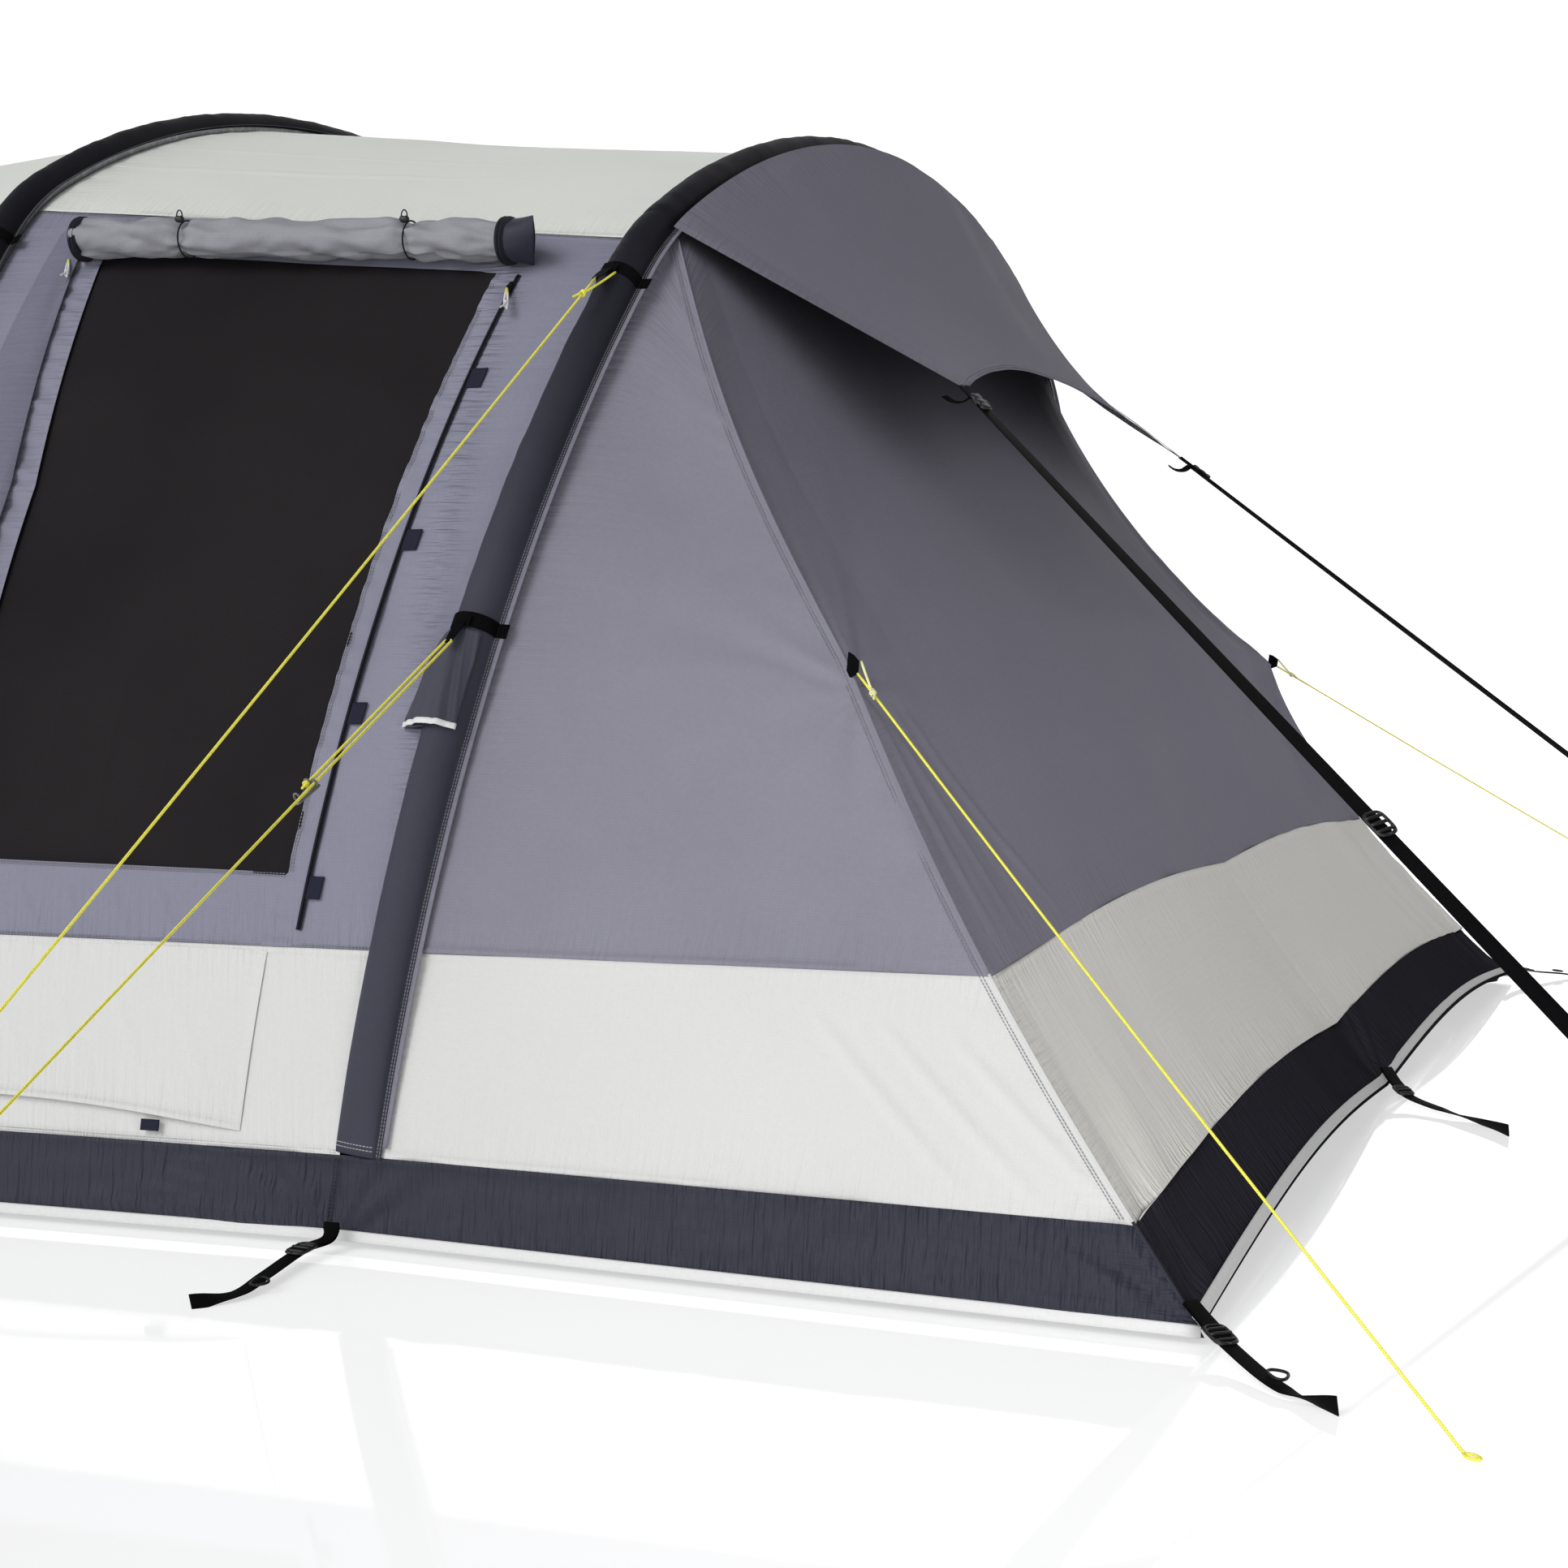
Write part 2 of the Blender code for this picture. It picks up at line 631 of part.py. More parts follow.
def make_guy_bands():
    for name, height in GUY_BAND_HEIGHTS.items():
        frame = wall_frame(REAR_BAY, 1.0, height, NEAR, SLEEVE_LIFT)
        ends = [frame @ Vector((0, offset, 0)) for offset in (-WEBBING_WIDTH / 2, WEBBING_WIDTH / 2)]
        radius = SLEEVE_RADIUS + 0.0042
        band = as_mesh(tube(f"guy_band_{name}", "webbing", ends, radius, sides=4, caps=False))
        solidify(band, 0.0018, -1.0)


def make_pocket():
    size = (0.085, 0.115, 0.018)
    lift = SLEEVE_LIFT + SLEEVE_RADIUS + 0.003 + size[2] / 2
    frame = wall_frame(REAR_BAY, 1.0, 0.815, NEAR, lift)
    pocket = box("guyline_pocket", "sleeve_fabric", size, frame)
    bevel = pocket.modifiers.new("soft_edges", "BEVEL")
    bevel.width = 0.006
    bevel.segments = 2


def make_seam_tabs():
    for name, side in SIDES.items():
        root = Vector((GUY_POINT.x + 0.006, side * (GUY_POINT.y + 0.006), GUY_POINT.z))
        out = Vector((0.9, side * 0.44, -0.15))
        place = aligned(root + out.normalized() * 0.008, out, (0, 0, 1))
        box(f"seam_tab_{name}", "webbing", (0.018, WEBBING, 0.026), place)


PEG_STRAPS = {
    "rear_near": (Vector((END_X - 0.01, -1.795, 0.030)), Vector((END_X - 0.02, -2.09, 0.006))),
    "rear_far": (Vector((END_X - 0.01, 1.795, 0.030)), Vector((END_X - 0.02, 2.09, 0.006))),
    "middle_near": (Vector((0.36, -1.972, 0.030)), Vector((0.36, -2.20, 0.006))),
    "middle_far": (Vector((0.36, 1.972, 0.030)), Vector((0.36, 2.20, 0.006))),
    "corner_near": (Vector((END_X + 1.268, -1.652, 0.026)), Vector((END_X + 1.44, -1.80, 0.006))),
    "corner_far": (Vector((END_X + 1.268, 1.652, 0.026)), Vector((END_X + 1.44, 1.80, 0.006))),
    "end_middle": (Vector((END_X + 1.225, -0.01, 0.022)), Vector((END_X + 1.46, -0.26, 0.006))),
}


def make_peg_straps():
    for name, (root, tip) in PEG_STRAPS.items():
        place = aligned((root + tip) / 2, tip - root, (0, 0, 1))
        box(f"peg_strap_{name}", "webbing", ((tip - root).length, WEBBING_WIDTH, WEBBING), place)


# ---- hood straps and guylines ---------------------------------------------------------------------
BUCKLE_SIZE = (0.052, 0.036, 0.005)
BUCKLE_PLACE = 0.52           # fraction of the way down the strap
BUCKLE_SLOT = (0.010, 0.027, 0.02)


def make_hood_straps():
    for name, side in SIDES.items():
        corner = Vector((HOOD_CORNER.x, side * HOOD_CORNER.y, HOOD_CORNER.z))
        corner += Vector((0.012, side * 0.008, -0.010))
        peg = Vector((STRAP_PEG.x, side * STRAP_PEG.y, STRAP_PEG.z))
        place = aligned((corner + peg) / 2, peg - corner, (0, 0, 1))
        size = ((peg - corner).length, WEBBING_WIDTH, STRAP)
        box(f"hood_strap_{name}", "webbing", size, place)
        if side == NEAR:
            make_buckle(lerp(corner, peg, BUCKLE_PLACE), peg - corner)


def make_buckle(point, along):
    """A ladder-lock buckle on top of the near strap, with its two slots."""
    lift = STRAP / 2 + 0.001 + BUCKLE_SIZE[2] / 2
    place = aligned(point, along, (0, 0, 1)) @ Matrix.Translation((0, 0, lift))
    buckle = box("strap_buckle", "black_plastic", BUCKLE_SIZE, place)
    for end, shift in (("upper", -0.013), ("lower", 0.013)):
        slot_place = place @ Matrix.Translation((shift, 0, 0))
        slot = box(f"buckle_slot_{end}", None, BUCKLE_SLOT, slot_place, CUTTERS)
        boolean(buckle, slot, "DIFFERENCE")


GUYLINE_SAG = 0.006


def taut_line(start, end, count):
    """Points along a cord that is held taut, with the little sag its weight gives it."""
    sag = Vector((0, 0, GUYLINE_SAG))
    return [lerp(start, end, t) - sag * sin(pi * t) for t in spread(0, 1, count)]


CORD_STANDOFF = 0.024         # from the webbing round the sleeve to the cord's end
UPPER_START, MIDDLE_START = (
    rear_arch_point(GUY_BAND_HEIGHTS[name] - drop, NEAR, SLEEVE_LIFT + SLEEVE_RADIUS + CORD_STANDOFF)
    for name, drop in CORD_DROPS.items()
)
RUNNER_PLACE = 0.23           # fraction of the way from the sleeve to the peg
STRAND_GAP = 0.012            # between the two strands above the runner


def make_guylines():
    radius = CORD_DIAMETER / 2
    upper = taut_line(UPPER_START, SIDE_PEG + Vector((0, 0, 0.002)), 40)
    tube("guyline_upper", "guyline_cord", upper, radius, 2)

    runner = lerp(MIDDLE_START, SIDE_PEG, RUNNER_PLACE)
    side_step = Vector((STRAND_GAP / 2, 0, 0))
    single = [lerp(SIDE_PEG + Vector((0.02, 0, 0)), runner + side_step, t) for t in spread(0, 1, 30)]
    double = [lerp(runner + side_step, MIDDLE_START + side_step, t) for t in spread(0, 1, 8)][1:]
    along = (MIDDLE_START - runner).normalized()
    bend = [
        MIDDLE_START + side_step * cos(a) + along * (STRAND_GAP / 2) * sin(a)
        for a in spread(0, pi, 6)[1:-1]
    ]
    back = [lerp(MIDDLE_START - side_step, runner - side_step, t) for t in spread(0, 1, 8)]
    tube("guyline_middle", "guyline_cord", single + double + bend + back, radius, 2)

    for name, side, peg in (("near", NEAR, CORNER_PEG_NEAR), ("far", FAR, CORNER_PEG_FAR)):
        start = Vector((GUY_POINT.x + 0.022, side * (GUY_POINT.y + 0.014), GUY_POINT.z - 0.012))
        tube(f"guyline_corner_{name}", "guyline_cord", taut_line(start, peg, 36), radius, 2)

    below = Vector((0, 0, -0.0085))
    place = aligned(runner + below, SIDE_PEG - MIDDLE_START, (0, 0, 1))
    shape = [(-0.024, 0.011), (-0.024, -0.011), (0.024, -0.005), (0.024, 0.005)]
    outline("guyline_runner", "grey_plastic", shape, 0.004, place)


for arch_name in ARCHES:
    make_beam(arch_name)
make_skin()
make_window()
make_rear_end()
make_front()
make_groundsheet()
make_blind()
make_zips()
make_guy_bands()
make_pocket()
make_seam_tabs()
make_peg_straps()
make_hood_straps()
make_guylines()
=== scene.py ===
"""Looks of the tunnel tent: cloth, seams, webbing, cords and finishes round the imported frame.

Metres, +Z up, in the part's own frame: X runs along the tunnel to the rear end, near is -Y.
"""

import json
from functools import partial
from math import cos, pi, radians, sin

import bmesh
import bpy
import numpy as np
from mathutils import Matrix, Vector

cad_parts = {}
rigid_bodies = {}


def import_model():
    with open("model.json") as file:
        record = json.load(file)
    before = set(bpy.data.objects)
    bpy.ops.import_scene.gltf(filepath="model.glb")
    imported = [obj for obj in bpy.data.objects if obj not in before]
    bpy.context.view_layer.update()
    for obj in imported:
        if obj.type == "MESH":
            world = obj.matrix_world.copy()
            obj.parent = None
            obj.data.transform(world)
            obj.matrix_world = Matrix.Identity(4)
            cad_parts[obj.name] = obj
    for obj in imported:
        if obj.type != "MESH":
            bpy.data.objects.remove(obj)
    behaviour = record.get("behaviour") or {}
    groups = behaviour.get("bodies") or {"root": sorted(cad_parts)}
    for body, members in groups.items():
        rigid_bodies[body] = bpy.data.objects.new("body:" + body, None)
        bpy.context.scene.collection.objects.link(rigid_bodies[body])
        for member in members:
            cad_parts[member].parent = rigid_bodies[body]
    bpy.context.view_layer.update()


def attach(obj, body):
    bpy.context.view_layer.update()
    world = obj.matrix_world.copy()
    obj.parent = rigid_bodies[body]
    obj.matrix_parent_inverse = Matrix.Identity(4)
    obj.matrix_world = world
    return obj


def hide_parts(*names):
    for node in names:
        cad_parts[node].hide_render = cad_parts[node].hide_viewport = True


for old in list(bpy.data.objects):
    bpy.data.objects.remove(old, do_unlink=True)

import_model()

NEAR, FAR = -1, 1
SIDES = {"near": NEAR, "far": FAR}

# ---- the tent's shape, as the CAD has it ------------------------------------------------------
HALF_WIDTH, FOOT_LEAN = 1.80, radians(8)
LEG_RADIUS, LEG_END = 3.10, radians(40)
SHOULDER_RADIUS, SHOULDER_END = 0.56, radians(57.5)
BAND_TOP, LOWER_TOP, EAVE, SKIRT = 0.135, 0.434, 1.64, 0.012
SLEEVE_RADIUS, SLEEVE_LIFT, SLEEVE_FOOT = 0.036, 0.004, 0.155
WINDOW_SPAN, WINDOW_SILL, WINDOW_HEAD = (0.168, 0.812), 0.552, 1.555
ZIP_PLACES, ZIP_LOW = {"front": 0.145, "rear": 0.848}, 0.46
BLIND_RADIUS = 0.038
ARCHES = {
    "front": (-1.75, -0.06, 1.090),      # place on the floor, lean per metre up, size
    "middle": (0.37, -0.17, 1.090),
    "rear": (1.33, 0.06, 0.985),
}
FRONT_BAY, REAR_BAY = ("front", "middle"), ("middle", "rear")
END_X, END_GAP = 1.34, 0.048
SEAM_TOP = 1.61
GUY_POINT = np.array([END_X + 0.633, 1.377, 0.866])
END_CORNER = np.array([END_X + 1.246, 1.635, 0.02])
SEAM_SAG, END_PULL, SCALLOP = 0.035, 0.046, 0.045
HOOD_CORNER = np.array([END_X + 0.569, 0.73, 1.354])
HOOD_EDGE_RISE = np.array([-0.084, 0, 0.111])
HOOD_LIFT = 0.018
STRAP_PEG = np.array([END_X + 2.149, 1.797, 0.004])
SIDE_PEG = np.array([END_X + 0.05, -3.056, 0.003])
CORNER_PEGS = {
    "near": np.array([END_X + 1.599, -1.861, 0.003]),
    "far": np.array([END_X + 2.018, 1.861, 0.003]),
}
GUY_BAND_HEIGHTS = {"upper": 1.515, "middle": 0.92}

LEG_TOP = (
    HALF_WIDTH - LEG_RADIUS * (cos(FOOT_LEAN) - cos(LEG_END)),
    LEG_RADIUS * (sin(LEG_END) - sin(FOOT_LEAN)),
)
SHOULDER_TOP = (
    LEG_TOP[0] - SHOULDER_RADIUS * (cos(LEG_END) - cos(SHOULDER_END)),
    LEG_TOP[1] + SHOULDER_RADIUS * (sin(SHOULDER_END) - sin(LEG_END)),
)
ROOF_RADIUS = SHOULDER_TOP[0] / cos(SHOULDER_END)

Z = np.array([0.0, 0.0, 1.0])


def lerp(a, b, t):
    return a + (b - a) * t


def unit(v):
    return v / np.maximum(np.linalg.norm(v, axis=-1, keepdims=True), 1e-9)


def xyz(x, y, z):
    return np.stack(np.broadcast_arrays(x, y, z), -1).astype(float)


def arch_yz(angle):
    """Half width and height of the unit arch where its tangent leans in by angle."""
    angle = np.asarray(angle, float)
    leg, shoulder = angle <= LEG_END, angle <= SHOULDER_END
    y0 = np.where(leg, HALF_WIDTH, np.where(shoulder, LEG_TOP[0], SHOULDER_TOP[0]))
    z0 = np.where(leg, 0.0, np.where(shoulder, LEG_TOP[1], SHOULDER_TOP[1]))
    radius = np.where(leg, LEG_RADIUS, np.where(shoulder, SHOULDER_RADIUS, ROOF_RADIUS))
    start = np.where(leg, FOOT_LEAN, np.where(shoulder, LEG_END, SHOULDER_END))
    y = y0 - radius * (np.cos(start) - np.cos(angle))
    return y, z0 + radius * (np.sin(angle) - np.sin(start))


def arch_angle(height):
    """The lean of the unit arch's tangent at this height."""
    height = np.asarray(height, float)
    leg = np.sin(FOOT_LEAN) + height / LEG_RADIUS
    shoulder = np.sin(LEG_END) + (height - LEG_TOP[1]) / SHOULDER_RADIUS
    roof = np.sin(SHOULDER_END) + (height - SHOULDER_TOP[1]) / ROOF_RADIUS
    lean = np.where(height <= LEG_TOP[1], leg, np.where(height <= SHOULDER_TOP[1], shoulder, roof))
    return np.arcsin(np.clip(lean, -1, 1))


def bay_xyz(bay, v, angle, side, lift=0.0):
    """A point on the skin between two arches, v of the way along."""
    a, b = ARCHES[bay[0]], ARCHES[bay[1]]
    x, lean, scale = (lerp(a[k], b[k], v) for k in range(3))
    y, z = arch_yz(angle)
    y = y * scale + lift * np.cos(angle)
    z = z * scale + lift * np.sin(angle)
    return xyz(x + lean * z, side * y, z)


def wall_xyz(bay, v, height, side, lift=0.0):
    """A point on the skin at a height."""
    scale = lerp(ARCHES[bay[0]][2], ARCHES[bay[1]][2], v)
    return bay_xyz(bay, v, arch_angle(height / scale), side, lift)


def rear_arch_xyz(height, side, lift=0.0):
    return wall_xyz(REAR_BAY, 1.0, height, side, lift)


def seam_xyz(height, side):
    """The seam between the side and the end wall, pulled out at its guy point."""
    height = np.asarray(height, float)
    top = rear_arch_xyz(SEAM_TOP, FAR) + np.array([END_GAP, -0.012, 0])
    above = (top[2] - height) / (top[2] - GUY_POINT[2])
    below = (GUY_POINT[2] - height) / (GUY_POINT[2] - END_CORNER[2])
    upper = height > GUY_POINT[2]
    t = np.where(upper, above, below)
    start = np.where(upper[..., None], top, GUY_POINT)
    end = np.where(upper[..., None], GUY_POINT, END_CORNER)
    point = lerp(start, end, t[..., None])
    curve = np.sin(pi * np.clip(t, 0, 1))
    nose = (1 - np.exp(-np.abs(height - GUY_POINT[2]) / 0.05)) * np.sqrt(np.abs(curve)) * (side > 0)
    return xyz(point[..., 0] - SEAM_SAG * curve - 0.045 * nose, side * (point[..., 1] - 0.012 * nose), height)


def end_side_xyz(height, t, side):
    return lerp(rear_arch_xyz(height, side), seam_xyz(height, side), np.asarray(t)[..., None])


def end_top_xyz(s, lift=0.0, reach=END_GAP):
    """The arch above the end wall, s from -1 near to 1 far."""
    s = np.asarray(s, float)
    x, lean, scale = ARCHES["rear"]
    angle = lerp(pi / 2, arch_angle(SEAM_TOP / scale), np.abs(s))
    y, z = arch_yz(angle)
    y, z = y * scale + lift * np.cos(angle), z * scale + lift * np.sin(angle)
    return xyz(x + reach + lean * z, np.sign(s) * y, z)


def end_wall_xyz(s, t):
    """The end wall, t of the way down, s from -1 at the near seam to 1 at the far one."""
    s, t = np.broadcast_arrays(np.asarray(s, float), np.asarray(t, float))
    height = lerp(SEAM_TOP, END_CORNER[2], t)
    across = ((s + 1) / 2)[..., None]
    point = lerp(seam_xyz(height, NEAR), seam_xyz(height, FAR), across)
    top = end_top_xyz(s) - lerp(end_top_xyz(-1), end_top_xyz(1), across)
    edge_x = END_CORNER[0] - END_PULL * (1 - np.abs(s))
    edge_z = END_CORNER[2] + SCALLOP * np.abs(np.sin(pi * s))
    low = xyz(edge_x, s * END_CORNER[1], edge_z) - END_CORNER * xyz(1, s, 1)
    return point + top * ((1 - t) ** 2)[..., None] + low * (t**2)[..., None]


def end_fraction(height):
    return (SEAM_TOP - height) / (SEAM_TOP - END_CORNER[2])


def hood_xyz(s, t):
    """The hood, from the arch out to its scalloped edge."""
    s, t = np.broadcast_arrays(np.asarray(s, float), np.asarray(t, float))
    edge = HOOD_CORNER * xyz(1, s, 1) + HOOD_EDGE_RISE * (1 - s * s)[..., None]
    return lerp(end_top_xyz(s, HOOD_LIFT, END_GAP + 0.004), edge, t[..., None])


# ---- camera, light and floor --------------------------------------------------------------------
CAMERA_PLACE, CAMERA_LENS = (3.231, -4.15, 0.878), 46.58
CAMERA_RIGHT = Vector((0.89719382, 0.44163701, 0.0))
CAMERA_FORWARD = Vector((-0.4407797, 0.89545217, -0.06227887))
TOP_LIGHT, END_LIGHT, BACK_LIGHT = 0.24, 0.05, 0.35    # the world's strength that way, of 1 in front
KEY_LIGHT, CORNER_LIGHT = 1.5, 18.0                    # the sun's, and in watts the lamp's at the end


def make_camera():
    """Low and close to the rear corner, looking along the near wall to the far side."""
    data = bpy.data.cameras.new("camera")
    data.sensor_width, data.lens = 36.0, CAMERA_LENS
    data.clip_end = 100
    camera = bpy.data.objects.new("camera", data)
    bpy.context.scene.collection.objects.link(camera)
    up = CAMERA_RIGHT.cross(CAMERA_FORWARD)
    turned = Matrix((CAMERA_RIGHT, up, -CAMERA_FORWARD)).transposed().to_4x4()
    camera.matrix_world = Matrix.Translation(CAMERA_PLACE) @ turned
    bpy.context.scene.camera = camera


class Nodes:
    """Adds nodes to a tree and links them."""

    def __init__(self, tree):
        self.tree = tree

    def add(self, kind, inputs=None, **settings):
        made = self.tree.nodes.new("ShaderNode" + kind)
        for name, value in settings.items():
            setattr(made, name, value)
        for name, value in (inputs or {}).items():
            self.feed(made.inputs[name], value)
        return made

    def feed(self, socket, value):
        if isinstance(value, bpy.types.Node):
            value = value.outputs[0]
        if isinstance(value, bpy.types.NodeSocket):
            self.tree.links.new(value, socket)
        else:
            socket.default_value = value

    def math(self, operation, *values):
        return self.add("Math", dict(enumerate(values)), operation=operation)

    def mix(self, share, a, b):
        made = self.add("Mix", data_type="RGBA")
        for index, value in ((0, share), (6, a), (7, b)):
            self.feed(made.inputs[index], value)
        return made.outputs[2]


    def cloth_uv(self):
        return self.add("SeparateXYZ", {0: self.add("UVMap", uv_map="cloth")})

    def place(self):
        return self.add("TexCoord").outputs["Object"]

    def tint(self, shader, colour, tone):
        base = self.add("VectorMath", {0: colour[:3], 3: tone}, operation="SCALE")
        self.feed(shader.inputs["Base Color"], base.outputs[0])

    def bump(self, shader, height, depth):
        self.feed(shader.inputs["Normal"], self.add("Bump", {"Distance": depth, "Height": height}))


def make_light():
    """A white studio: bright low in front, dimmer overhead, behind and past the rear end."""
    scene = bpy.context.scene
    scene.view_settings.view_transform = "Standard"
    world = bpy.data.worlds.new("studio")
    world.use_nodes = True
    scene.world = world
    nodes = Nodes(world.node_tree)
    world.node_tree.nodes.clear()
    place = nodes.add("SeparateXYZ", {0: nodes.add("TexCoord").outputs["Generated"]})
    height = nodes.add("MapRange", {0: place.outputs[2], 1: 0.45, 2: 0.85, 3: 1.0, 4: TOP_LIGHT})
    past_end = nodes.add("MapRange", {0: place.outputs[0], 1: 0.25, 2: 0.9, 3: 1.0, 4: END_LIGHT})
    behind = nodes.add("MapRange", {0: place.outputs[1], 1: -0.1, 2: 0.6, 3: 1.0, 4: BACK_LIGHT})
    level = nodes.math("MULTIPLY", nodes.math("MULTIPLY", height, past_end), behind)
    lit = nodes.add("Background", {"Color": (0.96, 0.98, 1.0, 1), "Strength": level})
    seen = nodes.add("Background", {"Color": (1, 1, 1, 1), "Strength": 1.05})
    ray = nodes.add("LightPath")
    beyond = nodes.add("MapRange", {0: place.outputs[1], 1: 0.45, 2: 0.6})
    mirrored = nodes.math("MULTIPLY", ray.outputs["Is Glossy Ray"], beyond)
    plain = nodes.math("MAXIMUM", ray.outputs["Is Camera Ray"], mirrored)
    both = nodes.add("MixShader", {0: plain, 1: lit, 2: seen})
    nodes.add("OutputWorld", {0: both})

    sun = bpy.data.lights.new("soft_key", "SUN")
    sun.energy, sun.angle = KEY_LIGHT, radians(34)
    lamp = bpy.data.objects.new("soft_key", sun)
    scene.collection.objects.link(lamp)
    lamp.rotation_mode = "QUATERNION"
    lamp.rotation_quaternion = Vector((0.22, 0.76, -0.61)).to_track_quat("-Z", "Y")

    panel = bpy.data.lights.new("low_fill", "AREA")
    panel.energy, panel.size = CORNER_LIGHT, 1.4
    fill = bpy.data.objects.new("low_fill", panel)
    scene.collection.objects.link(fill)
    fill.location = (4.1, -3.0, 0.5)
    fill.visible_glossy = False
    fill.rotation_mode = "QUATERNION"
    fill.rotation_quaternion = Vector((-1.6, 1.8, -0.1)).to_track_quat("-Z", "Y")


def make_floor():
    mesh = bpy.data.meshes.new("floor")
    bm = bmesh.new()
    bmesh.ops.create_circle(bm, cap_ends=True, segments=96, radius=60)
    bm.to_mesh(mesh)
    bm.free()
    floor = bpy.data.objects.new("floor", mesh)
    bpy.context.scene.collection.objects.link(floor)
    material = bpy.data.materials.new("pale_floor")
    material.use_nodes = True
    nodes = Nodes(material.node_tree)
    shader = material.node_tree.nodes["Principled BSDF"]
    grain = nodes.add("TexNoise", {"Scale": 18.0, "Detail": 4.0})
    spread = nodes.add("MapRange", {0: grain, 1: 0.3, 2: 0.7, 3: 0.03, 4: 0.06})
    nodes.feed(shader.inputs["Roughness"], spread)
    shader.inputs["Base Color"].default_value = (0.62, 0.62, 0.62, 1)
    shader.inputs["Emission Color"].default_value = (1, 1, 1, 1)
    shader.inputs["Emission Strength"].default_value = 0.55
    mesh.materials.append(material)


make_camera()
make_light()
make_floor()


# ---- meshes -------------------------------------------------------------------------------------
def linear(*values):
    """A linear colour from one that was read as 0 to 255."""
    share = [v / 255 for v in values]
    lit = [v / 12.92 if v < 0.04045 else ((v + 0.055) / 1.055) ** 2.4 for v in share]
    return (*lit, 1.0)


def build(name, points, faces, uvs, material, body="tent", smooth=True):
    """A mesh object from points, faces and one UV per point, riding on a body."""
    mesh = bpy.data.meshes.new(name)
    faces = np.asarray(faces) if not isinstance(faces, list) else faces
    mesh.from_pydata(np.asarray(points).tolist(), [], [list(map(int, f)) for f in faces])
    corners = np.zeros(len(mesh.loops), int)
    mesh.loops.foreach_get("vertex_index", corners)
    layer = mesh.uv_layers.new(name="cloth")
    layer.data.foreach_set("uv", np.asarray(uvs, np.float32)[corners].ravel())
    mesh.polygons.foreach_set("use_smooth", np.full(len(mesh.polygons), smooth))
    mesh.materials.append(material)
    thing = bpy.data.objects.new(name, mesh)
    bpy.context.scene.collection.objects.link(thing)
    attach(thing, body)
    return thing


def stands_for(node):
    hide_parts(node)


def grid_faces(rows, cols, keep=None, around=False):
    index = np.arange(rows * cols).reshape(rows, cols)
    if around:
        index = np.hstack([index, index[:, :1]])
    quads = np.stack([index[:-1, :-1], index[:-1, 1:], index[1:, 1:], index[1:, :-1]], -1)
    return quads[keep] if keep is not None else quads.reshape(-1, 4)


def tube_faces(rows, cols):
    """The faces of a closed tube, with both its ends."""
    ends = [list(range(cols))[::-1], list(range((rows - 1) * cols, rows * cols))]
    return grid_faces(rows, cols, around=True).tolist() + ends


def flat_uvs(a, b):
    return np.stack(np.broadcast_arrays(a, b), -1).reshape(-1, 2)


def compact(points, uvs, faces):
    """The same mesh without the points that no face uses."""
    used, faces = np.unique(faces, return_inverse=True)
    return points[used], uvs[used], faces.reshape(-1, 4)


def lengths(points, axis):
    """How far along its row or column each point of a grid lies."""
    step = np.linalg.norm(np.diff(points, axis=axis), axis=-1)
    zero = np.zeros_like(np.take(step, [0], axis=axis))
    return np.cumsum(np.concatenate([zero, step], axis=axis), axis=axis)


def facing_out(points, out):
    """1 where these normals point away from the inside of the tent, or else -1."""
    middle = points[tuple(size // 2 for size in points.shape[:-1])]
    centre = np.array([np.clip(middle[0], -1.2, 1.2), 0, 0.5])
    return np.sign(np.sum((points - centre) * out))


def normals(points):
    """A grid's unit normals, away from the inside of the tent, and 1 or -1 for whether it was turned."""
    across, up = np.gradient(points, axis=1), np.gradient(points, axis=0)
    out = unit(np.cross(across, up))
    sign = facing_out(points, out)
    return out * sign, sign


HEM = np.array([0, 0.0012, 0.0085, 0.0098])


def places(length, step, hems=(True, True)):
    """Fractions along a length, with the folds of a hem at the ends that have one."""
    low = HEM if hems[0] else HEM[:1]
    high = length - (HEM[::-1] if hems[1] else HEM[:1])
    count = max(2, int((high[0] - low[-1]) / step))
    middle = np.linspace(low[-1], high[0], count + 1)[1:-1]
    return np.concatenate([low, middle, high]) / length


def hem_height(away):
    return np.where((away > 0.001) & (away < 0.009), 0.0011, 0.0)


def noise1(x, seed):
    """Smooth noise from -1 to 1, about one hill to a unit."""
    table = np.random.default_rng(seed).uniform(-1, 1, 512)
    i = np.floor(x).astype(int)
    f = x - i
    return lerp(table[i % 512], table[(i + 1) % 512], f * f * (3 - 2 * f))


def noise2(x, y, seed):
    table = np.random.default_rng(seed).uniform(-1, 1, (96, 96))
    i, j = np.floor(x).astype(int), np.floor(y).astype(int)
    f, g = x - i, y - j
    f, g = f * f * (3 - 2 * f), g * g * (3 - 2 * g)
    low = lerp(table[i % 96, j % 96], table[(i + 1) % 96, j % 96], f)
    high = lerp(table[i % 96, (j + 1) % 96], table[(i + 1) % 96, (j + 1) % 96], f)
    return lerp(low, high, g)


def puckers(along, away, seed, height=0.0012, wide=0.018, reach=0.03):
    """Gathers beside a seam: ridges across it that widen and die out away from it."""
    away = np.maximum(away, 0)
    total = 0
    for k in range(3):
        size = 1.9**k
        ridge = noise1(along / (wide * size) + away * 3, seed + k)
        total += ridge * np.exp(-away / (reach * size)) / (k + 1) ** 0.5
    return height * total * np.clip(away / 0.006, 0.15, 1)


